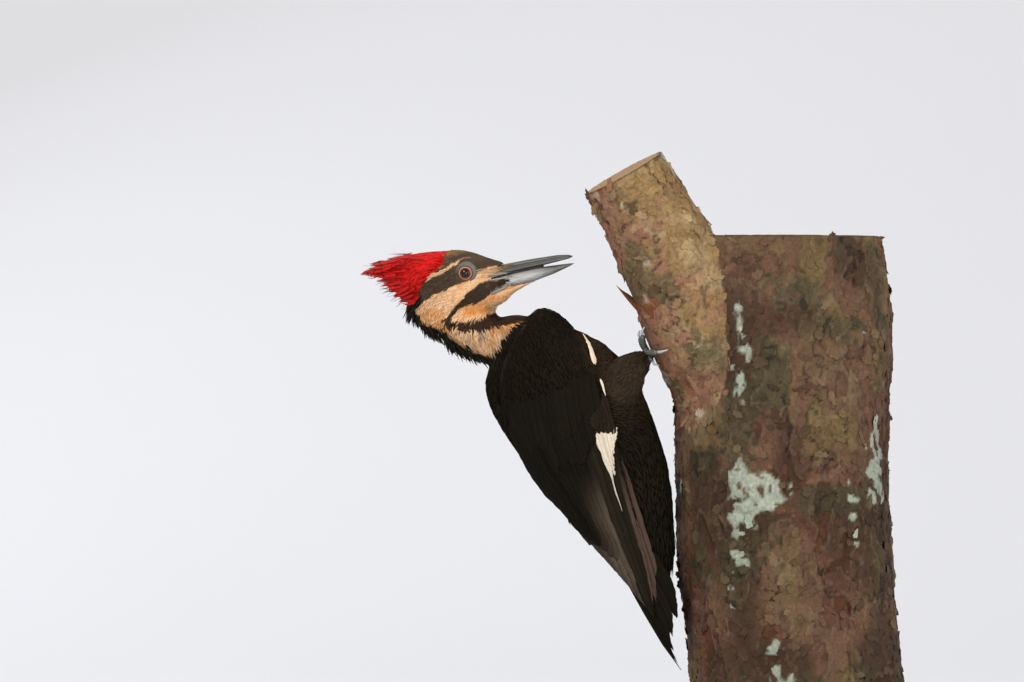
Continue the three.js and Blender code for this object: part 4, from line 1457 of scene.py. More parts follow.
def bark_look(points):
    """The bark's depth below its outline in metres, its colour, and where lichen grows, at each point."""
    place, on_branch, across = grain_view(points)
    scale = np.where(on_branch, 1.0, 1.5)[:, None]
    level, edge = terraces(place / scale, 0.017, 11, 3)
    fine, fine_edge = terraces(place / scale + 3, 0.0075, 23, 2)
    grain = noise(points, 0.0028, 41)
    sink = 1.05 * (3 - level) + 0.5 * (2 - fine) + 0.28 * grain + 0.6 * noise(place, 0.03, 51)
    sink = sink * np.where(on_branch, 0.85, 1.3)
    crack = np.abs(noise(place * (1, 1, 0.5), 0.02, 61) + 0.25 * noise(place, 0.006, 62))
    crack = 1 - step(crack, 0.0, 0.05)
    sink = sink + crack * 1.2

    # newly bared layers are rusty, old ones weathered to tan and grey
    wander = 0.5 + 0.5 * noise(points, 0.034, 42)
    tint = 0.5 + 0.5 * noise(points, 0.011, 43)
    sunny = np.where(on_branch, step(across / MM, 95, 150), 0.35)
    age = np.clip(0.22 * level + 0.1 * fine + 0.35 * (wander - 0.5) + 0.5 * (sunny - 0.4), 0, 1)
    colour = mix(np.tile(RUST, (len(points), 1)), PINKISH, step(age, 0.1, 0.4))
    weathered = mix(np.tile(OCHRE, (len(points), 1)), PALE_TAN, step(tint, 0.4, 0.8))
    colour = mix(colour, weathered, step(age, 0.45, 0.8))
    colour = mix(colour, UMBER, step(1 - wander, 0.5, 0.75) * np.where(on_branch, 0.3, 0.75))
    mossy = step(noise(points, 0.024, 48) + 0.3 * noise(points, 0.005, 49), 0.32, 0.55)
    colour = mix(colour, OLIVE, mossy * 0.75)
    pale = step(noise(points, 0.013, 58) + 0.2 * noise(points, 0.004, 59), 0.56, 0.7) * on_branch
    colour = mix(colour, linear((0.86, 0.80, 0.72)), pale * 0.65)
    colour = colour * (1 + 0.17 * noise(points, 0.0055, 44) + 0.04 * noise(points, 0.0018, 45))[:, None]
    # painted shade in the cracks and down each plate's step, and a painted highlight along the plate's lip just above
    # it
    rim = np.exp(-((edge - 0.1) / 0.07) ** 2) + 0.3 * np.exp(-((fine_edge - 0.1) / 0.08) ** 2)
    colour = mix(colour, CRACK_SHADE, np.clip(rim * 0.4 + crack * 0.7, 0, 0.85))
    colour = mix(colour, PALE_TAN, np.exp(-((edge - 0.27) / 0.07) ** 2) * 0.35)
    # the trunk stands in the shade
    colour = colour * np.where(on_branch, 0.56, 0.27)[:, None]
    spots = noise(points * (1, 1, 0.7), 0.026, 54) + 0.35 * noise(points, 0.006, 55) + 0.3 * noise(points, 0.07, 56)
    bar = np.where(on_branch, 0.74, 0.66)
    lichen = step(spots, bar, bar + 0.07) * step(0.6 + noise(points, 0.003, 57), 0.1, 0.35)
    colour = mix(colour, LICHEN * (0.6 + 0.16 * noise(points, 0.0016, 47))[:, None], lichen * 0.85)
    return np.clip(sink, 0, 5.0) * MM, colour, lichen


def end_faces(points, faces):
    """Which CAD faces are the flat cuts: the trunk's two ends and the branch's."""
    a, b, c = (points[faces[:, k]] for k in range(3))
    normal = unit(np.cross(b - a, c - a))
    height = points[faces].mean(1)[:, 2]
    foot = height < points[:, 2].min() + 1 * MM
    trunk_top = (np.abs(normal[:, 2]) > 0.98) & (np.abs(height - TRUNK_TOP) < MM)
    branch_end = (normal @ unit(BRANCH_LINE[-1] - BRANCH_LINE[-2]) > 0.93) & (height > 0.4)
    return foot | trunk_top | branch_end


def bark_material():
    """Flaky bark in plates, and the bare wood with its rings where it is cut across."""
    material, tree, shader = new_material("flaky_bark")
    place = object_place(tree)
    mottled = new_node(
        tree, "ShaderNodeTexNoise", {"Vector": place, "Scale": 420, "Detail": 5, "Roughness": 0.65}, "Color"
    )
    grain = mottled.node.outputs["Fac"]
    warp = {0: mottled, 1: (0.0024, 0.0024, 0.0024), 2: place}
    warped = new_node(tree, "ShaderNodeVectorMath", warp, operation="MULTIPLY_ADD")
    plates = {"Vector": mapped(tree, warped, (1, 1, 0.7)), "Scale": 230}
    plate = new_node(tree, "ShaderNodeTexVoronoi", plates, "Color", feature="F1")
    crack = new_node(tree, "ShaderNodeTexVoronoi", plates, "Distance", feature="DISTANCE_TO_EDGE")
    own = new_node(tree, "ShaderNodeSeparateColor", {0: plate})
    tone = maths(tree, "MULTIPLY", ranged(tree, grain, 0.3, 0.7, 0.76, 1.2), ranged(tree, own, 0, 1, 0.93, 1.06))
    # painted shade in the fine cracks between the plates
    tone = maths(tree, "MULTIPLY", tone, ranged(tree, crack, 0.0, 0.06, 0.86, 1.0))
    bark = scaled(tree, attribute(tree, "bark", "Color"), tone)

    radius = maths(tree, "MULTIPLY_ADD", texture(tree, place, 45), 2.2, attribute(tree, "ring"))
    ringed = maths(tree, "FRACT", maths(tree, "MULTIPLY", radius, 0.31))
    shades = (
        (0.0, (0.69, 0.57, 0.41)), (0.62, (0.65, 0.52, 0.36)), (0.92, (0.50, 0.36, 0.22)), (1.0, (0.67, 0.55, 0.39)),
    )
    wood = ramp(tree, ringed, *((at, linear(shade)) for at, shade in shades))
    wood = scaled(tree, wood, ranged(tree, grain, 0.3, 0.7, 0.82, 1.12))

    both = {"Factor": attribute(tree, "cut"), 6: bark, 7: wood}
    colour = new_node(tree, "ShaderNodeMix", both, 2, data_type="RGBA")
    height = maths(tree, "MULTIPLY_ADD", ranged(tree, crack, 0.0, 0.1, 0.0, 1.0), 0.22, grain)
    fill(shader, {"Base Color": colour, "Roughness": 0.85, "Specular IOR Level": 0.25})
    fill(shader, {"Normal": relief(tree, height, 0.5, 0.9 * MM)})
    return material


def quiet_near_feet(points):
    """0 where the toes press on the bark, 1 well away from them."""
    away = np.full(len(points), FAR)
    for side, _ in SIDES:
        low, high = (np.array(v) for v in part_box("foot_" + side))
        gap = np.maximum(np.maximum(low - points, points - high), 0)
        away = np.minimum(away, np.linalg.norm(gap, axis=1))
    return step(away, 0.004, 0.018)


def make_bark(sizes):
    cad_points, cad_faces = cad_solid("perch")
    points, quads = remeshed(cad_points, cad_faces, sizes.bark_square)
    places, _, face = nearest(tree_of(cad_points, cad_faces), points)
    at_end = end_faces(cad_points, cad_faces)[face]
    edges = ring_edges(quads)
    points = np.where(at_end[:, None], places, eased(points, edges, 3))
    normals = point_normals(points, quads)
    sink, colour, lichen = bark_look(points)
    calm = quiet_near_feet(points)
    rim = eased(at_end.astype(float), edges, 2)
    sink = sink * (0.15 + 0.85 * calm)
    sink = sink * (1 - step(rim, 0.15, 0.8))
    chipped = 0.4 * MM * noise(points, 0.004, 50) * (rim > 0.5)
    points = points - normals * (sink + np.clip(chipped, 0, 1))[:, None]

    # how far each place on a cut is from its middle: the branch's cut is the higher one
    on_top = points[:, 2] > 0.4
    from_trunk = np.linalg.norm(points[:, :2] - TRUNK_MIDDLE, axis=1)
    ring = np.where(on_top, np.linalg.norm(points - BRANCH_LINE[-1], axis=1), from_trunk)
    rind = step(ring / np.where(on_top, 31 * MM, TRUNK_RADIUS), 0.9, 0.93)

    bark = new_object("bark", points, [quads])
    set_colour(bark.data, "bark", mix(colour, UMBER * 0.8, at_end * rind))
    set_value(bark.data, "cut", at_end * (1 - rind))
    set_value(bark.data, "ring", ring / MM)
    set_value(bark.data, "flaky", calm * (1 - step(rim, 0.05, 0.3)) * (1 - lichen))
    unwrap(bark)
    material = bark_material()
    bark.data.materials.append(material)
    flakes = bark_flakes(bark, sizes, material)
    splinter(material)
    finish(bark, "pine_bark", "perch")
    finish(flakes, "pine_bark")


def splinter(material):
    """The one pointed sheet of bark that has sprung away from the branch's left side."""
    v = np.linspace(0, 1, 9)
    middle = np.column_stack([-66 - 16.5 * v, -15 - 3 * v**2, 345 + 17 * v])
    half = 8.5 * (1 - v) ** 0.9 + 0.15
    thick = 2.2 * (1 - v) + 0.3
    outline = ((-1, 0), (-0.4, 1), (0.45, 1), (1, 0), (0.3, -1), (-0.5, -1))
    rows = []
    for at, wide, deep, t in zip(middle, half, thick, v):
        for z, out in outline:
            over = np.array((-0.42, 0.1, 0.9)) * (z * wide + 0.5 * math.sin(t * 7))
            rows.append(at + over + (0, out * deep / 2 - abs(z) * wide * 0.1, 0))
    points = np.array(rows) * MM
    count = len(outline)
    last = len(points) - count
    caps = [(0, i + 1, i) for i in range(1, count - 1)] + [(last, last + i, last + i + 1) for i in range(1, count - 1)]
    groups = [ring_faces(len(v), count), np.array(caps)[:, ::-1]]
    values = {"cut": np.zeros(len(points)), "ring": np.zeros(len(points))}
    colour = np.tile(RUST * 0.5, (len(points), 1)) * (1 + 0.3 * noise(points, 0.004, 5))[:, None]
    make_piece("bark_splinter", points, groups, "pine_bark", material, paint=("bark", colour), values=values)


def one_flake():
    """A thin curled chip with an uneven outline, lying flat with its thick end lifted."""
    outline = [
        (-4.8, -0.6), (-3.3, -1.5), (-3.1, -2.8), (-0.6, -2.2), (0.9, -3.1), (2.4, -1.9), (4.9, -1.2), (3.6, 0.5),
        (3.4, 2.1), (1.2, 1.7), (-0.2, 2.9), (-2.2, 1.6), (-3.9, 1.7),
    ]
    count = len(outline)
    flat = np.array(outline + [(0.2, -0.1)])
    curl = 0.02 * flat[:, 0] ** 2 - 0.04 * flat[:, 0]
    upper = np.column_stack([flat, curl + 0.2])
    lower = np.column_stack([flat, curl - 0.3])
    upper[:-1, :2] *= 0.94
    threes = []
    fours = []
    for i in range(count):
        j = (i + 1) % count
        threes += [(i, j, count), (count + 1 + j, count + 1 + i, 2 * count + 1)]
        fours.append((i, count + 1 + i, count + 1 + j, j))
    groups = [np.array(threes), np.array(fours)]
    return new_object("flake", np.concatenate([upper, lower]) * MM, groups, [False, False])


def strewing_tree():
    """The node tree that strews chips over a surface, and the identifiers of its named inputs."""
    tree = bpy.data.node_groups.new("strewn_flakes", "GeometryNodeTree")
    tree.is_modifier = True
    kinds = {
        "Geometry": "Geometry", "Flake": "Object", "Spacing": "Float", "Size": "Float", "Seed": "Int",
        "Finish": "Material",
    }
    sockets = {
        name: tree.interface.new_socket(name=name, in_out="INPUT", socket_type="NodeSocket" + kind).identifier
        for name, kind in kinds.items()
    }
    tree.interface.new_socket(name="Geometry", in_out="OUTPUT", socket_type="NodeSocketGeometry")
    given = tree.nodes.new("NodeGroupInput").outputs

    def by_chance(low, high):
        inputs = {0: low, 1: high, "Seed": given["Seed"]}
        return new_node(tree, "FunctionNodeRandomValue", inputs, data_type="FLOAT_VECTOR")

    flaky = new_node(tree, "GeometryNodeInputNamedAttribute", {"Name": "flaky"}, data_type="FLOAT")
    spots = {
        "Mesh": given["Geometry"], "Distance Min": given["Spacing"], "Density Max": 40000, "Density Factor": flaky,
        "Seed": given["Seed"],
    }
    strewn = new_node(tree, "GeometryNodeDistributePointsOnFaces", spots, "Points", distribute_method="POISSON")
    chip = new_node(tree, "GeometryNodeObjectInfo", {"Object": given["Flake"]}, "Geometry")
    spin = new_node(tree, "FunctionNodeEulerToRotation", {0: by_chance((-0.08, -0.16, -3.14), (0.08, 0.06, 3.14))})
    facing = strewn.node.outputs["Rotation"]
    turned = new_node(tree, "FunctionNodeRotateRotation", {0: facing, 1: spin}, rotation_space="LOCAL")
    sized = scaled(tree, by_chance((0.45, 0.5, 0.6), (1.5, 1.35, 1.3)), given["Size"])
    laid = {"Points": strewn, "Instance": chip, "Rotation": turned, "Scale": sized}
    solid = new_node(tree, "GeometryNodeRealizeInstances", {0: new_node(tree, "GeometryNodeInstanceOnPoints", laid)})
    finished = new_node(tree, "GeometryNodeSetMaterial", {"Geometry": solid, "Material": given["Finish"]})
    fill(tree.nodes.new("NodeGroupOutput"), {0: finished})
    return tree, sockets


def bark_flakes(bark, sizes, material):
    """Lifting chips strewn over the bark by Geometry Nodes."""
    tree, sockets = strewing_tree()
    flake = one_flake()
    per_flake = len(flake.data.vertices)
    strewn = bark.modifiers.new("flakes", "NODES")
    strewn.node_group = tree
    strewn[sockets["Flake"]] = flake
    strewn[sockets["Spacing"]] = sizes.flake_spacing
    strewn[sockets["Size"]] = sizes.flake_size
    strewn[sockets["Seed"]] = 5
    strewn[sockets["Finish"]] = material
    mesh = evaluated_mesh(bark)
    bark.modifiers.remove(strewn)
    drop(flake)
    for name in [a.name for a in mesh.attributes if a.name in ("bark", "cut", "ring", "flaky")]:
        mesh.attributes.remove(mesh.attributes[name])
    piece = bpy.data.objects.new("bark_flakes", mesh)
    bpy.context.scene.collection.objects.link(piece)
    points = mesh_points(mesh)
    centre = points.reshape(-1, per_flake, 3).mean(1)
    bright = 0.88 + 0.3 * chance(np.column_stack([np.arange(len(centre))] * 3), 3)
    colour = bark_look(centre)[1] * bright[:, None]
    shade = np.tile(np.repeat([1.0, 0.55], per_flake // 2), len(centre))
    set_colour(mesh, "bark", np.repeat(colour, per_flake, axis=0) * shade[:, None])
    set_value(mesh, "cut", np.zeros(len(points)))
    set_value(mesh, "ring", np.zeros(len(points)))
    while mesh.uv_layers:
        mesh.uv_layers.remove(mesh.uv_layers[0])
    unwrap(piece, margin=0.0005)
    return piece


# ---------------------------------------------------------------- feet


def make_foot(side):
    """A foot's scaled skin, smoothed from its solid and ringed with scutes out along the toes."""
    points, quads = remeshed(*cad_solid("foot_" + side, grow=0.12 * MM), 0.42 * MM)
    points = eased(points, ring_edges(quads), 4)
    normals = point_normals(points, quads)
    thick = through(points, quads, normals, 0.0)
    hub = (points - normals * thick[:, None] / 2)[np.argsort(thick)[-60:]].mean(0)
    out = np.linalg.norm(points - hub, axis=1)
    _, way_out, _ = nearest(tree_of(*cad_solid("perch")), points)
    upper = step((normals * way_out).sum(1), -0.1, 0.5)
    wave = (out / (1.25 * MM)) % 1
    scute = np.sqrt(np.clip(1 - (2 * wave - 1) ** 2, 0, 1))
    pads = 0.5 + 0.5 * np.sin(out / (3.1 * MM) * 2 * math.pi)
    pebbles = noise(points, 0.0007, 61)
    rise = upper * (scute - 0.6) * 0.16 + (1 - upper) * (pads * 0.18 + pebbles * 0.05)
    points = points + normals * (rise * MM)[:, None]
    colour = np.tile(linear((0.30, 0.305, 0.285)), (len(points), 1))
    colour = mix(colour, linear((0.45, 0.46, 0.42)), upper * step(scute, 0.6, 1.0) * 0.6)
    # dark between the scutes on top; the undersides, facing the bark, are darkened as painted shade
    between = np.maximum(upper * (1 - step(scute, 0.05, 0.5)), (1 - upper) * 0.3)
    colour = mix(colour, linear((0.12, 0.115, 0.11)), between)
    colour = colour * (1 + 0.12 * noise(points, 0.002, 62))[:, None]
    make_piece(
        "foot_skin_" + side, points, [quads], "foot_skin", bpy.data.materials["bare_skin"], "foot_" + side,
        paint=("skin", colour),
    )


def make_claws(side):
    """The four claws of a foot: the solids rounded, and streaked along."""
    foot = tree_of(*cad_solid("foot_" + side))
    for toe in ("inner_front", "outer_front", "outer_side", "rear"):
        name = "claw_%s_%s" % (side, toe)
        points, quads = modified(*cad_solid(name), "SUBSURF", levels=2, render_levels=2)
        out = np.linalg.norm(points - nearest(foot, points)[0], axis=1)
        colour = np.tile(linear((0.10, 0.10, 0.105)), (len(points), 1))
        colour = mix(colour, linear((0.30, 0.29, 0.28)), 1 - step(out / out.max(), 0.0, 0.5))
        make_piece(
            name + "_horn", points, [quads], "claw_horn", bpy.data.materials["bill_horn"], name, paint=("horn", colour)
        )


# ---------------------------------------------------------------- stand


def lathe(at, profile, around=48):
    """A closed ring turned about an upright line through a place: the profile gives (radius, z)."""
    angle = np.linspace(0, 2 * math.pi, around, endpoint=False)
    rows = [
        np.column_stack([at[0] + r * np.cos(angle), at[1] + r * np.sin(angle), np.full(around, z)]) for r, z in profile
    ]
    quads = ring_faces(len(profile) + 1, around)[:, [0, 3, 2, 1]]
    return np.concatenate(rows), quads % (len(profile) * around)


def walnut_material():
    """Oiled dark wood, with the grain along the base."""
    material, tree, shader = new_material("oiled_walnut")
    place = object_place(tree)
    figure = new_node(
        tree, "ShaderNodeTexNoise",
        {"Vector": mapped(tree, place, (5, 34, 34)), "Scale": 1.3, "Detail": 6, "Distortion": 1.4}, "Fac",
    )
    pores = texture(tree, mapped(tree, place, (60, 1300, 1300)))
    shades = (
        (0.45, (0.17, 0.105, 0.065)), (0.6, (0.30, 0.19, 0.12)), (0.72, (0.40, 0.27, 0.17)), (0.85, (0.26, 0.16, 0.10)),
    )
    both = maths(tree, "MULTIPLY_ADD", pores, 0.32, figure)
    colour = ramp(tree, both, *((at, linear(shade)) for at, shade in shades))
    fill(shader, {"Base Color": colour, "Roughness": 0.38, "Normal": relief(tree, pores, 0.25)})
    fill(shader, {"Coat Weight": 0.25, "Coat Roughness": 0.2})
    return material


def steel_material():
    """Dark steel, finely brushed round."""
    material, tree, shader = new_material("brushed_steel")
    brushed = texture(tree, mapped(tree, object_place(tree), (120, 120, 5200)), detail=3)
    colour = ramp(tree, brushed, (0.3, (0.10, 0.10, 0.105)), (0.7, (0.24, 0.24, 0.25)))
    fill(shader, {"Base Color": colour, "Metallic": 1.0, "Roughness": ranged(tree, brushed, 0, 1, 0.28, 0.5)})
    return material


def make_stand():
    walnut, steel = walnut_material(), steel_material()
    for name, material in (("stand_base", walnut), ("stand_rod_1", steel), ("stand_rod_2", steel)):
        NODES[name].data.materials.clear()
        NODES[name].data.materials.append(material)
    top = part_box("stand_base")[1].z
    # each collar's outline: how far out from its rod and how far over the base, in mm
    outline = (
        (0.05, -0.6), (5.5, -0.6), (5.5, 1.2), (4.9, 1.9), (2.2, 2.2), (1.3, 3.4), (0.7, 4.0), (0.05, 4.0),
    )
    for name in ("stand_rod_1", "stand_rod_2"):
        low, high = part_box(name)
        radius = (high.x - low.x) / 2
        at = ((low.x + high.x) / 2, (low.y + high.y) / 2)
        points, quads = lathe(at, [(radius + out * MM, top + up * MM) for out, up in outline])
        make_piece(name + "_collar", points, [quads], "stand_metal", steel)


# ---------------------------------------------------------------- loose locks


def lay_locks(name, roots, tips, widths, colours, raise_by, bow, seed, slot, material, ridge=0.42, painted_highlight=None):
    """Long narrow locks, each a closed three-sided blade from a root to a tip over the skin.
    raise_by is how high it stands off the skin at its tip, and bow how far it bends aside, in metres."""
    rng = np.random.default_rng(seed)
    count = len(roots)
    steps = 9
    v = np.linspace(0, 1, steps)
    line = roots[:, None] * (1 - v)[None, :, None] + tips[:, None] * v[None, :, None]
    _, normal, _ = nearest(BED["tree"], roots)
    aside = unit(np.cross(normal, unit(tips - roots)))
    swing = rng.normal(0, bow, count)
    line = line + aside[:, None] * (swing[:, None] * np.sin(v * math.pi)[None])[:, :, None]
    flat = line.reshape(-1, 3)
    place, up, _ = nearest(BED["tree"], flat)
    above = ((flat - place) * up).sum(1)
    height = (np.broadcast_to(raise_by, count)[:, None] * v[None] + 0.2 * MM).ravel()
    flat = np.where((above < height)[:, None], place + up * height[:, None], flat)
    line = flat.reshape(count, steps, 3)
    line[:, 1:-1] += 0.5 * ((line[:, :-2] + line[:, 2:]) / 2 - line[:, 1:-1])
    run = unit(np.gradient(line, axis=1))
    across = unit(np.cross(up.reshape(count, steps, 3), run))
    up = np.cross(run, across)
    girth = widths[:, None] * (np.minimum(0.6 + 1.6 * v, 1) * np.clip(1 - v, 0, 1) ** 0.55)[None]
    half = across * girth[:, :, None] / 2
    crown = line + up * (girth * ridge)[:, :, None]
    blade = np.stack([line - half, crown, line + half], axis=2)[:, :-1].reshape(count, -1, 3)
    root = (line[:, :1] - run[:, :1] * 0.3 * MM) - up[:, :1] * 0.3 * MM
    points = np.concatenate([root, blade, line[:, -1:]], axis=1)
    size = points.shape[1]
    last = size - 1
    threes = [(0, 2, 1), (0, 3, 2), (0, 1, 3), (last - 3, last - 2, last), (last - 2, last - 1, last)]
    threes.append((last - 1, last - 3, last))
    fours = []
    for a in range(1, last - 3, 3):
        fours += [(a, a + 1, a + 4, a + 3), (a + 1, a + 2, a + 5, a + 4), (a + 2, a, a + 3, a + 5)]

    level = np.concatenate([[0], np.repeat(v[:-1], 3), [1]])
    colours = np.broadcast_to(colours, (count, 3))
    # painted shade: each lock darkens towards its root, under the locks that lie over it
    shade = colours[:, None] * (0.78 + 0.3 * level)[None, :, None]
    # painted highlight: the ends of some locks paled towards pink
    if painted_highlight is not None:
        pale = (painted_highlight[:, None] * step(level, 0.35, 0.9)[None])[..., None]
        shade = shade * (1 - pale) + linear((0.86, 0.42, 0.36)) * pale
    shade = shade * (1 + rng.normal(0, 0.08, (count, 1, 1)))
    u = np.concatenate([[0.5], np.tile([0.0, 0.5, 1.0], steps - 1), [0.5]])
    u = 0.5 + (u - 0.5) * np.concatenate([[1], np.repeat(1 - v[:-1], 3), [0]])
    vane = np.column_stack([u, level])
    # each lock has a cell of the OFBake map, with its root's own point a little below its first row
    laid = vane - np.outer(np.arange(size) == 0, (0, 0.05))
    columns = math.ceil(math.sqrt(count * 3))
    cell = np.stack(np.divmod(np.arange(count), columns)[::-1], axis=1)[:, None]
    baked = (cell + 0.05 + laid[None] * 0.9) / (columns, math.ceil(count / columns))
    make_piece(
        name, points.reshape(-1, 3), repeated((threes, fours), count, size), slot, material,
        paint=("plumage", np.clip(shade, 0, 1).reshape(-1, 3)),
        values={"tint": np.repeat(rng.uniform(0, 1, count), size)},
        maps={"OFBake": baked.reshape(-1, 2), "vane": np.tile(vane, (count, 1))},
    )


def crest_locks(sizes, material):
    """The crest's long pointed locks, drawn together into ragged points behind."""
    rng = np.random.default_rng(sizes.seed + 60)
    # each bunch: its root and its tip (f, n), its spread, its share of the locks, how strong the painted highlight at
    # its end is
    bunches = np.array([
        (-22, 17.2, -44, 20.6, 1.4, 0.9, 0.1), (-30, 16.5, -50, 20.4, 1.2, 1.0, 0.2),
        (-34, 15.5, -63, 19.4, 1.2, 1.3, 0.5), (-38, 13.5, -66.5, 16.8, 1.1, 1.1, 0.5),
        (-40, 12.5, -70.3, 14.3, 1.0, 1.5, 0.45), (-42, 7.2, -65.5, 11.6, 0.9, 0.9, 0.5),
        (-38, 6, -60.5, 7.2, 1.3, 1.2, 0.25), (-36, 3, -59, 3, 1.5, 1.2, 0.1),
        (-34, 0, -55.5, -1, 1.6, 1.2, 0.0), (-32, -3, -51.8, -5.6, 1.6, 1.2, 0.0),
        (-32, -6, -48.6, -11, 1.6, 1.1, 0.0), (-33, -8, -43.5, -14.2, 1.5, 1.0, 0.0),
        (-18, 10, -42, 12, 3.5, 1.2, 0.1), (-22, 4, -44, 3, 3.5, 1.2, 0.0), (-27, -2, -44, -6, 3.0, 1.0, 0.0),
    ])

    def strands(name, count, spread, begin, reach, wide, dark, seed, raised, ridge):
        own = bunches[rng.choice(len(bunches), count, p=bunches[:, 5] / bunches[:, 5].sum())]
        root = own[:, :2] + rng.normal(0, spread, (count, 2)) * own[:, 4:5]
        tip = own[:, 2:4] + rng.normal(0, 0.35, (count, 2)) * own[:, 4:5]
        root = root + (tip - root) * rng.uniform(*begin, (count, 1))
        tip = root + (tip - root) * rng.uniform(*reach, (count, 1))
        y_root = rng.choice([-1, 1], count) * rng.uniform(1, 15, count)
        y_tip = y_root * np.clip(1 - (np.abs(tip[:, 0]) - 20) / 50, 0.1, 1) * 0.7 + rng.normal(0, 1.0, count)
        roots, tips = on_head(root[:, 0], y_root, root[:, 1]), on_head(tip[:, 0], y_tip, tip[:, 1])
        tone = 1 + 0.3 * noise(roots, 0.008, 21) + rng.normal(0, 0.07, count)
        # the locks lower on the crest's rear are darker: painted shade
        low = step(root[:, 1] - 0.35 * root[:, 0], 4, 22)
        red = RED[None] * (tone * (0.62 + 0.38 * low) * dark)[:, None]
        # the locks along the top lie close, apart from the one that droops
        top = np.where((own[:, 2] > -52) & (own[:, 4] != 0.9), 0.15, 1 - step(own[:, 3], 17, 20) * 0.6)
        lay_locks(
            name, roots, tips, rng.uniform(*wide, count) * MM, red, rng.uniform(*raised, count) * MM * top, 1.2 * MM,
            sizes.seed + seed, "red_plumage", material, ridge, own[:, 6] * rng.uniform(0.3, 1.2, count),
        )

    count = sizes.crest_locks
    strands("crest_locks", count * 4 // 3, 1.5, (0, 0.35), (0.75, 1.02), (1.8, 3.3), 1.0, 61, (0.15, 0.7), 0.09)
    strands("crest_wisps", count // 2, 2.0, (0.4, 0.75), (0.9, 1.15), (0.35, 0.8), 0.85, 62, (0.6, 1.8), 0.3)
    # the loose dark strands over the top and off the lower edge
    loose = np.array([
        (-33, 20, -47, 23.6), (-36, 20.4, -49.4, 23.9), (-34, 20.3, -44, 22.4), (-50, 1, -61, 0.5), (-50, 0, -60, -2),
        (-47, -3, -57, -5.5), (-46, -5, -55, -8.5), (-45, -7, -53.5, -9), (-43, -9, -52, -14), (-42, -10, -49, -15.5),
        (-52, 5, -63, 4.2), (-40, -12, -46, -17), (-50, 12, -62, 9.3), (-56, 16, -68, 19),
    ])
    loose = np.repeat(loose, 2, axis=0) + rng.normal(0, 0.5, (2 * len(loose), 4))
    y = rng.normal(-1, 2, len(loose))
    lay_locks(
        "crest_strands", on_head(loose[:, 0], y, loose[:, 1]), on_head(loose[:, 2], y * 0.5, loose[:, 3]),
        rng.uniform(0.3, 0.55, len(loose)) * MM, RED * 0.25 + BLACK, 0.5 * MM, 0.9 * MM, sizes.seed + 67,
        "red_plumage", material,
    )


def side_at(f, n):
    """How far out the skin's side is at each place in the head's view, in mm; 0 where there is none."""
    out = np.zeros(len(f))
    for i, start in enumerate(on_head(f, np.full(len(f), 30.0), n)):
        hit = BED["tree"].ray_cast(Vector(start), Vector((0, -1, 0)), 0.03)[0]
        out[i] = abs(hit.y) / MM if hit is not None else 0
    return out


def nasal_tufts(sizes, material):
    """The stiff pale bristles that lie forward over the nostrils."""
    rng = np.random.default_rng(sizes.seed + 63)
    count = 230
    side = rng.choice([-1.0, 1.0], count)
    f = 14 + 21 * rng.uniform(0, 1, count) ** 0.8
    n = -1.3 - rng.uniform(0, 1, count) * along(f, (14, 6.5), (24, 4.5), (35, 2.2))
    back = f - rng.uniform(5, 9, count)
    root = on_head(back, side * np.maximum(side_at(back, n), 5.5), n)
    tip = on_head(f, side * (upper_side(f) * 0.9 + 0.9), np.clip(n - rng.uniform(-0.4, 0.8, count), -6.4, -1.6))
    dusky = step(f, 18, 30) + rng.normal(0, 0.18, count)
    tone = mix(np.tile(CREAM, (count, 1)), linear((0.50, 0.43, 0.27)), dusky)
    lay_locks(
        "nasal_tufts", root, tip, rng.uniform(0.4, 0.75, count) * MM, tone,
        rng.uniform(0.1, 0.4, count) * MM, 0.4 * MM, sizes.seed + 64, "cream_plumage", material,
    )


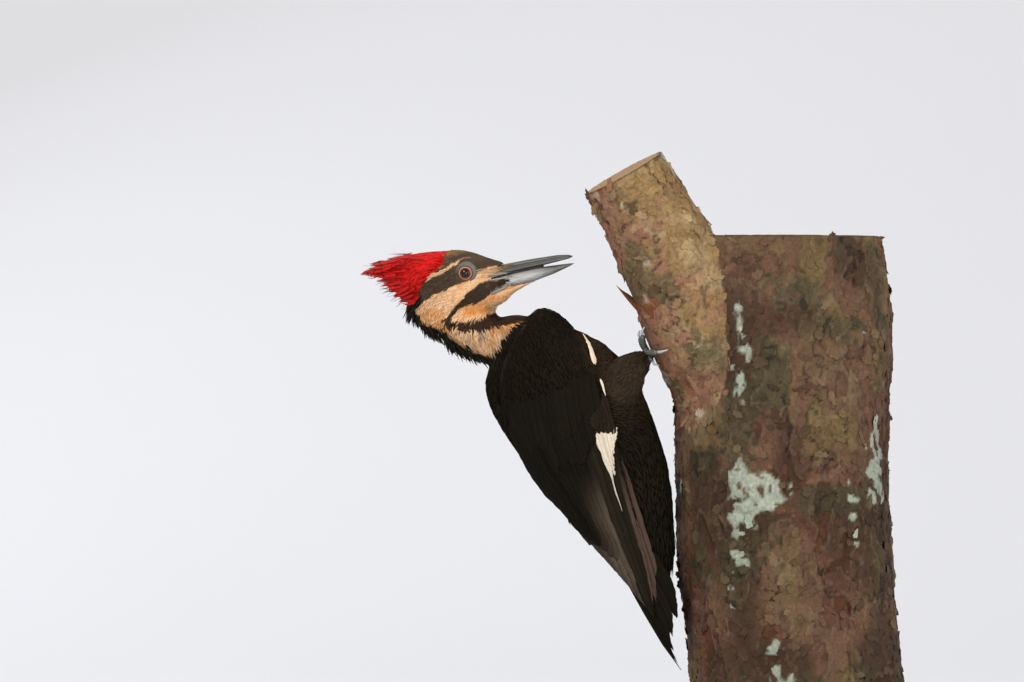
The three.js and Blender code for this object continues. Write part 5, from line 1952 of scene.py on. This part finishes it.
def gape_edges(sizes, material):
    """The narrow edges of horn, a black strip of painted shadow along the gape, and the tufts over the lower bill's
    base.
    """
    rng = np.random.default_rng(sizes.seed + 68)
    pale = linear((0.62, 0.605, 0.57))

    def laid(f0, n0, f1, n1, side, lift):
        root = on_head(f0, side * (side_at(f0, n0) + 0.1), n0)
        bill = np.where(n1 > -8, upper_side(f1), lower_side(f1)) * (f1 > 26)
        return root, on_head(f1, side * (np.maximum(side_at(f1, n1), bill * 0.97) + lift), n1)

    # from (f, n) to (f, n), how wide, and the colour; the black strip is painted shadow where the mandibles meet
    strips = [
        (13.5, -6.0, 31, -6.9, 1.5, pale), (17.0, -8.3, 34, -8.1, 1.25, BLACK * 1.1),
        (17.2, -9.5, 32, -10.2, 1.7, pale), (14.6, -18.9, 33, -14.4, 2.2, pale * 0.9),
        (13, -6.9, 24, -7.4, 0.7, pale * 0.7),
    ]
    strips = [strip for strip in strips for _ in SIDES]
    *line, wide, tones = (np.array(k) for k in zip(*strips))
    root, tip = laid(*line, np.tile([-1.0, 1.0], len(strips) // 2), 0.35)
    lay_locks("gape_edges", root, tip, wide * MM, tones, 0.5 * MM, 0.0, sizes.seed + 69, "bill_horn", material, 0.2)

    count = 360
    side = rng.choice([-1.0, 1.0], count)
    f0 = rng.uniform(20, 28.5, count)
    n0 = np.minimum(rng.uniform(-18, -10.6, count), malar_top(f0) - 0.2)
    f1 = f0 + rng.uniform(2.6, 5, count)
    n1 = n0 + (f1 - f0) * 0.12
    root, tip = laid(f0, n0, f1, n1, side, 0.3)
    dark = ((n0 > malar_bottom(f0)) & (n0 < malar_top(f0)))[:, None]
    ramus = (np.abs(n0 - along(f0, (20, -17), (28, -15))) < 0.9)[:, None]
    tone = np.where(dark, MALAR * 0.85, np.where(ramus, pale, mix_one(CREAM, BUFF, 0.5)))
    kept = (n1 < -10.2) | dark[:, 0]
    wide, raised = rng.uniform(0.5, 0.85, kept.sum()), rng.uniform(0.1, 0.3, kept.sum())
    lay_locks(
        "bill_base_tufts", root[kept], tip[kept], wide * MM, tone[kept], raised * MM, 0.2 * MM, sizes.seed + 70,
        "cream_plumage", material,
    )


def nape_spikes(sizes, material):
    """The ragged black feathers that stand off the back of the neck."""
    rng = np.random.default_rng(sizes.seed + 65)
    line = np.array([
        (-43, -12), (-43.5, -20), (-39.5, -28), (-32, -35.5), (-24.5, -44), (-20.5, -49), (-15, -54.5), (-7, -60),
        (1, -61),
    ])
    count = 300
    u = rng.uniform(0, len(line) - 1, count)
    low = np.minimum(u.astype(int), len(line) - 2)
    part = (u - low)[:, None]
    root = line[low] * (1 - part) + line[low + 1] * part
    run = unit(line[low + 1] - line[low])
    y = rng.normal(0, 5, count)
    start, normal, _ = nearest(BED["tree"], on_head(root[:, 0], y, root[:, 1]))
    way = unit(head_way(run[:, 0], 0 * y, run[:, 1]))
    length = rng.uniform(6, 10, (count, 1)) * MM
    spread = rng.uniform(0.3, 0.85, (count, 1))
    tip = start + (way * np.cos(spread) + normal * np.sin(spread)) * length
    lay_locks(
        "nape_feathers", start, tip, rng.uniform(1.5, 2.9, count) * MM, BLACK * 1.1, 0.3 * MM, 0.5 * MM,
        sizes.seed + 66, "black_plumage", material,
    )


def leg_sleeves(sizes, material):
    """The short feathers that close each leg's coat round the top of its foot."""
    rng = np.random.default_rng(sizes.seed + 67)
    legs = BED["centre"][part_of("leg_right", "leg_left")]
    for side, sign in SIDES:
        own = legs[legs[:, 1] * sign > 0]
        foot = cad_solid("foot_" + side)[0]
        apart = np.linalg.norm(foot - own.mean(0), axis=1)
        ankle = foot[apart < np.quantile(apart, 0.2)].mean(0)
        way = unit(ankle - own.mean(0))
        reach = (own - own.mean(0)) @ way
        ring = own[reach > np.quantile(reach, 0.8)]
        count = 200
        start, normal, _ = nearest(BED["tree"], ring[rng.integers(0, len(ring), count)])
        along_leg = unit(ankle + way * 6 * MM - start) + normal * rng.uniform(0.1, 0.3, (count, 1))
        tip = start + unit(along_leg) * rng.uniform(5, 9, (count, 1)) * MM
        tone = rng.uniform(0.8, 1.3, (count, 1))
        lay_locks(
            "leg_sleeve_" + side, start, tip, rng.uniform(1.2, 2.2, count) * MM, MALAR * 0.6 * tone, 0.2 * MM,
            0.4 * MM, sizes.seed + 68, "black_plumage", material,
        )


def vent_feathers(sizes, material):
    """The long feathers under the root of the tail."""
    rng = np.random.default_rng(sizes.seed + 69)
    s, y, h = back_view(BED["centre"])
    rear = BED["centre"][part_of("body") & (s > 150) & (h < -13) & (np.abs(y) < 17)]
    count = 260
    start, normal, _ = nearest(BED["tree"], rear[rng.integers(0, len(rear), count)])
    way = unit(back_way(1, 0, 0.5) + normal * rng.uniform(0.0, 0.1, (count, 1)))
    tip = start + way * rng.uniform(12, 20, (count, 1)) * MM
    wide = rng.uniform(2.4, 4.2, count) * MM
    lay_locks(
        "vent_feathers", start, tip, wide, BLACK * rng.uniform(0.8, 1.1, (count, 1)), 0.3 * MM, 0.6 * MM,
        sizes.seed + 70, "black_plumage", material, 0.2,
    )


# ---------------------------------------------------------------- stage


def make_stage(stage):
    scene = bpy.context.scene
    material, _, shader = new_material("studio_paper")
    fill(shader, {"Base Color": (*linear(stage.paper), 1), "Roughness": 0.9})
    floor = CAD_BOX[0].z
    back, bend, top, front, half = 3.2, 1.9, 3.4, -4.5, 6.0
    turn = np.linspace(0, math.pi / 2, 13)
    profile = [(front, floor)]
    profile += [(back - bend + bend * math.sin(a), floor + bend - bend * math.cos(a)) for a in turn]
    profile.append((back, top))
    points = np.array([(x, y, z) for y, z in profile for x in (-half, half)])
    faces = np.array([(2 * i, 2 * i + 1, 2 * i + 3, 2 * i + 2) for i in range(len(profile) - 1)])
    paper = new_object("studio_sweep", points, [faces])
    paper.data.materials.append(material)

    def lamp(name, at, power, size, colour=(1, 1, 1)):
        data = bpy.data.lights.new(name, "AREA")
        data.energy = power
        data.size = size
        data.color = colour
        made = bpy.data.objects.new(name, data)
        made.location = at
        made.rotation_euler = (Vector((-0.05, 0, 0.3)) - Vector(at)).to_track_quat("-Z", "Y").to_euler()
        scene.collection.objects.link(made)

    lamp("key", (-1.1, -2.2, 1.7), stage.key_power, 0.9, (1, 0.97, 0.93))
    lamp("front", (0.75, -2.9, 0.6), stage.front_power, 0.8, (1, 0.98, 0.96))
    lamp("fill", (1.8, -1.3, 0.9), stage.fill_power, 1.4)
    lamp("back", (-1.2, 1.9, 1.6), stage.back_power, 1.2, (0.94, 0.97, 1))
    scene.world = bpy.data.worlds.new("studio")
    scene.world.use_nodes = True
    fill(scene.world.node_tree.nodes["Background"], {"Color": (1, 0.985, 0.96, 1), "Strength": stage.sky})
    scene.view_settings.view_transform = "Standard"

    camera = bpy.data.objects.new("camera", bpy.data.cameras.new("camera"))
    camera.data.sensor_width = 36.0
    camera.data.lens = stage.lens
    camera.data.clip_end = 50
    camera.location = stage.camera_at
    camera.rotation_euler = (math.pi / 2, 0, 0)
    scene.collection.objects.link(camera)
    scene.camera = camera


# ---------------------------------------------------------------- settings and operators


class StageSettings(bpy.types.PropertyGroup):
    camera_at: FloatVectorProperty(
        name="Camera place", description="Where the camera stands", default=(-0.1539, -2.94, 0.324),
        subtype="TRANSLATION", unit="LENGTH",
    )
    lens: FloatProperty(name="Lens", description="Focal length of the camera", default=149.8, min=10, unit="CAMERA")
    paper: FloatVectorProperty(
        name="Paper", description="Colour of the floor and backdrop", default=(0.915, 0.92, 0.94), min=0, max=1,
        subtype="COLOR_GAMMA",
    )
    key_power: FloatProperty(
        name="Key light", description="Power of the light at the upper left", default=42, unit="POWER"
    )
    front_power: FloatProperty(
        name="Front light", description="Power of the light beside the camera", default=19, unit="POWER"
    )
    fill_power: FloatProperty(
        name="Fill light", description="Power of the light at the right", default=17, unit="POWER"
    )
    back_power: FloatProperty(name="Back light", description="Power of the light behind", default=10, unit="POWER")
    sky: FloatProperty(name="Room light", description="Strength of the even light from all round", default=0.66, min=0)


class PlumageSettings(bpy.types.PropertyGroup):
    skin_square: FloatProperty(
        name="Skin square", description="Size of the squares of the skin's mesh", default=0.0013, unit="LENGTH"
    )
    face_length: FloatProperty(
        name="Face feather", description="Length of the feathers on the face", default=0.0042, unit="LENGTH"
    )
    neck_length: FloatProperty(
        name="Neck feather", description="Length of the feathers on the neck", default=0.0085, unit="LENGTH"
    )
    crest_length: FloatProperty(
        name="Crest feather", description="Length of the feathers on the crest", default=0.011, unit="LENGTH"
    )
    body_length: FloatProperty(
        name="Body feather", description="Length of the feathers on the back and breast", default=0.0105, unit="LENGTH"
    )
    crest_locks: IntProperty(name="Crest locks", description="How many long locks the crest has", default=150, min=1)
    seed: IntProperty(name="Seed", description="Start of everything random in the coat", default=7)


class PerchSettings(bpy.types.PropertyGroup):
    bark_square: FloatProperty(
        name="Bark square", description="Size of the squares of the bark's mesh", default=0.0018, unit="LENGTH"
    )
    flake_size: FloatProperty(
        name="Flake size", description="Size of the lifting chips of bark, as a share of 8 mm", default=1.0, min=0.1
    )
    flake_spacing: FloatProperty(
        name="Flake spacing", description="Least distance between the lifting chips", default=0.0075, unit="LENGTH"
    )


def make_head_coat(sizes):
    f, y, n = head_view(BED["centre"])
    bare = np.hypot(f - 1.3, n - 0.2) < 6.3
    fine = plumage_material("fine_plumage")
    glossy = plumage_material("crest_plumage", roughness=0.55, specular=0.2)

    def forward(size, *knots):
        """A measure that changes forward along the head."""
        return lambda p: along(head_view(p)[0], *knots) * size

    def lift(p):
        f, _, n = head_view(p)
        chin = step(-n, 17, 25) * step(f, 4, 12) * (1 - step(f, 26, 32))
        return along(f, (-40, 0.2), (0, 0.15), (25, 0.09)) + 0.3 * chin

    for side, sign in SIDES:
        grow(
            "head_feathers_" + side, part_of("head") & ~bare & (y * sign >= 0), sizes.seed + sign, "cream_plumage",
            fine,
            spacing=forward(MM, (-40, 1.0), (-15, 0.85), (10, 0.68), (30, 0.55)),
            length=forward(sizes.face_length, (-40, 1.6), (-15, 1.15), (5, 0.8), (18, 0.62), (30, 0.6)),
            width=forward(MM, (-40, 1.35), (0, 1.05), (20, 0.75)), lift=lift, crown=0.28, stray=0.13,
        )
    grow(
        "crest_feathers", part_of("crest") & (f > -56), sizes.seed + 5, "red_plumage", glossy, spacing=1.2 * MM,
        length=forward(sizes.crest_length, (-54, 0.6), (-40, 1.1), (-10, 0.9)), width=1.5 * MM, lift=0.06, crown=0.1,
        stray=0.14, droop=0.0, tone=0.08, fade=0.2,
    )
    grow(
        "neck_feathers", part_of("neck"), sizes.seed + 6, "cream_plumage", fine, spacing=1.05 * MM,
        length=sizes.neck_length, width=1.25 * MM, lift=0.11, crown=0.2, stray=0.14, tone=0.1, fade=0.2,
    )
    crest_locks(sizes, glossy)
    nasal_tufts(sizes, fine)
    gape_edges(sizes, fine)
    nape_spikes(sizes, fine)


def make_body_coat(sizes):
    centre = BED["centre"]
    fine = bpy.data.materials["fine_plumage"]
    soft = plumage_material("soft_plumage", roughness=0.85, specular=0.02)
    feathered = plumage_material("body_plumage", roughness=0.9, specular=0.01, pitch=26, slant=0.9)

    def size(p):
        s, _, h = back_view(p)
        grown = along(s, (-20, 0.7), (0, 0.8), (40, 1.0), (120, 1.2))
        return grown * np.where(h < 0, along(s, (-20, 0.8), (40, 0.85), (120, 1.0)), 1.0)

    def body_length(p):
        s, _, h = back_view(p)
        return size(p) * sizes.body_length * (1 + 0.9 * step(s, 142, 165) * (h < 0))

    for side, sign in SIDES:
        grow(
            "body_feathers_" + side, part_of("body") & (centre[:, 1] * sign >= 0), sizes.seed + 10 + sign,
            "black_plumage", soft, spacing=lambda p: size(p) * 1.45 * MM, length=body_length,
            width=lambda p: size(p) * 2.1 * MM,
            lift=lambda p: along(back_view(p)[0], (-12, 0.12), (0, 0.16), (25, 0.16), (60, 0.12)), crown=0.16,
            droop=0.04, stray=0.11, tone=0.1, fade=0.12,
        )
        shoulder = back_view(centre)[0] < 52 + 7 * noise(centre, 0.009, 14)
        grow(
            "wing_coverts_" + side, part_of("wing_" + side) & shoulder, sizes.seed + 20 + sign, "black_plumage",
            feathered, spacing=lambda p: size(p) * 1.6 * MM, length=lambda p: size(p) * sizes.body_length * 1.15,
            width=lambda p: size(p) * 2.6 * MM,
            lift=lambda p: along(back_view(p)[2], (-22, 0.08), (-5, 0.1), (10, 0.1)), crown=0.12, droop=0.03,
            stray=0.09, tone=0.09, fade=0.1,
        )
    grow(
        "leg_feathers", part_of("leg_right", "leg_left"), sizes.seed + 30, "black_plumage", fine, spacing=1.35 * MM,
        length=7 * MM, width=1.7 * MM, lift=0.14, crown=0.2, stray=0.14, tone=0.12, fade=0.2,
    )
    leg_sleeves(sizes, fine)
    vent_feathers(sizes, soft)


class WOODPECKER_OT_stage(bpy.types.Operator):
    """Sets the paper sweep, the lights and the camera"""

    bl_idname = "woodpecker.stage"
    bl_label = "Stage"

    def execute(self, context):
        make_stage(context.scene.woodpecker_stage)
        return {"FINISHED"}


class WOODPECKER_OT_skin(bpy.types.Operator):
    """Makes the one skin that lies under all the feathers"""

    bl_idname = "woodpecker.skin"
    bl_label = "Skin"

    def execute(self, context):
        make_skin(context.scene.woodpecker_plumage)
        return {"FINISHED"}


class WOODPECKER_OT_head_coat(bpy.types.Operator):
    """Covers the head, crest and neck with small feathers"""

    bl_idname = "woodpecker.head_coat"
    bl_label = "Head and neck feathers"

    def execute(self, context):
        make_head_coat(context.scene.woodpecker_plumage)
        return {"FINISHED"}


class WOODPECKER_OT_body_coat(bpy.types.Operator):
    """Covers the back, breast, belly and legs with feathers"""

    bl_idname = "woodpecker.body_coat"
    bl_label = "Body feathers"

    def execute(self, context):
        make_body_coat(context.scene.woodpecker_plumage)
        return {"FINISHED"}


class WOODPECKER_OT_wings(bpy.types.Operator):
    """Lays the long feathers of both wings, with their white marks"""

    bl_idname = "woodpecker.wings"
    bl_label = "Wings"

    def execute(self, context):
        plumage_material("flight_plumage", roughness=0.75, specular=0.03, pitch=60, slant=1.1, streaks=0.22)
        seed = context.scene.woodpecker_plumage.seed
        for side, _ in SIDES:
            make_wing(side, seed + 40)
            make_white_marks(side, seed + 41)
        return {"FINISHED"}


class WOODPECKER_OT_tail(bpy.types.Operator):
    """Lays the stiff feathers of the tail"""

    bl_idname = "woodpecker.tail"
    bl_label = "Tail"

    def execute(self, context):
        make_tail(context.scene.woodpecker_plumage.seed + 50)
        return {"FINISHED"}


class WOODPECKER_OT_bill(bpy.types.Operator):
    """Makes the two halves of the bill and the mouth's lining"""

    bl_idname = "woodpecker.bill"
    bl_label = "Bill"

    def execute(self, context):
        make_bill()
        return {"FINISHED"}


class WOODPECKER_OT_eyes(bpy.types.Operator):
    """Makes the eyes with their lids and the ring of bare skin"""

    bl_idname = "woodpecker.eyes"
    bl_label = "Eyes"

    def execute(self, context):
        for side, sign in SIDES:
            make_eyeball(side, sign)
            make_eyelids(side, sign)
        return {"FINISHED"}


class WOODPECKER_OT_feet(bpy.types.Operator):
    """Makes the scaled skin of the feet and their claws"""

    bl_idname = "woodpecker.feet"
    bl_label = "Feet"

    def execute(self, context):
        for side, _ in SIDES:
            make_foot(side)
            make_claws(side)
        return {"FINISHED"}


class WOODPECKER_OT_perch(bpy.types.Operator):
    """Covers the length of trunk and branch with bark and lifting chips"""

    bl_idname = "woodpecker.perch"
    bl_label = "Perch"

    def execute(self, context):
        make_bark(context.scene.woodpecker_perch)
        return {"FINISHED"}


class WOODPECKER_OT_stand(bpy.types.Operator):
    """Finishes the base and its rods, and adds their collars"""

    bl_idname = "woodpecker.stand"
    bl_label = "Stand"

    def execute(self, context):
        make_stand()
        return {"FINISHED"}


STEPS = [
    WOODPECKER_OT_stage,
    WOODPECKER_OT_skin,
    WOODPECKER_OT_head_coat,
    WOODPECKER_OT_body_coat,
    WOODPECKER_OT_wings,
    WOODPECKER_OT_tail,
    WOODPECKER_OT_bill,
    WOODPECKER_OT_eyes,
    WOODPECKER_OT_feet,
    WOODPECKER_OT_perch,
    WOODPECKER_OT_stand,
]


class WOODPECKER_PT_panel(bpy.types.Panel):
    bl_idname = "WOODPECKER_PT_panel"
    bl_label = "Woodpecker"
    bl_space_type = "VIEW_3D"
    bl_region_type = "UI"
    bl_category = "Woodpecker"

    def draw(self, context):
        scene = context.scene
        for group in (scene.woodpecker_plumage, scene.woodpecker_perch, scene.woodpecker_stage):
            for key in group.__annotations__:
                self.layout.prop(group, key)
        for operator in STEPS:
            self.layout.operator(operator.bl_idname)


CLASSES = [StageSettings, PlumageSettings, PerchSettings, *STEPS, WOODPECKER_PT_panel]


def register():
    for item in CLASSES:
        bpy.utils.register_class(item)
    bpy.types.Scene.woodpecker_stage = PointerProperty(type=StageSettings)
    bpy.types.Scene.woodpecker_plumage = PointerProperty(type=PlumageSettings)
    bpy.types.Scene.woodpecker_perch = PointerProperty(type=PerchSettings)


def unregister():
    del bpy.types.Scene.woodpecker_perch
    del bpy.types.Scene.woodpecker_plumage
    del bpy.types.Scene.woodpecker_stage
    for item in reversed(CLASSES):
        bpy.utils.unregister_class(item)


def main():
    register()
    for operator in STEPS:
        group, action = operator.bl_idname.split(".")
        getattr(getattr(bpy.ops, group), action)()


if __name__ == "__main__":
    main()
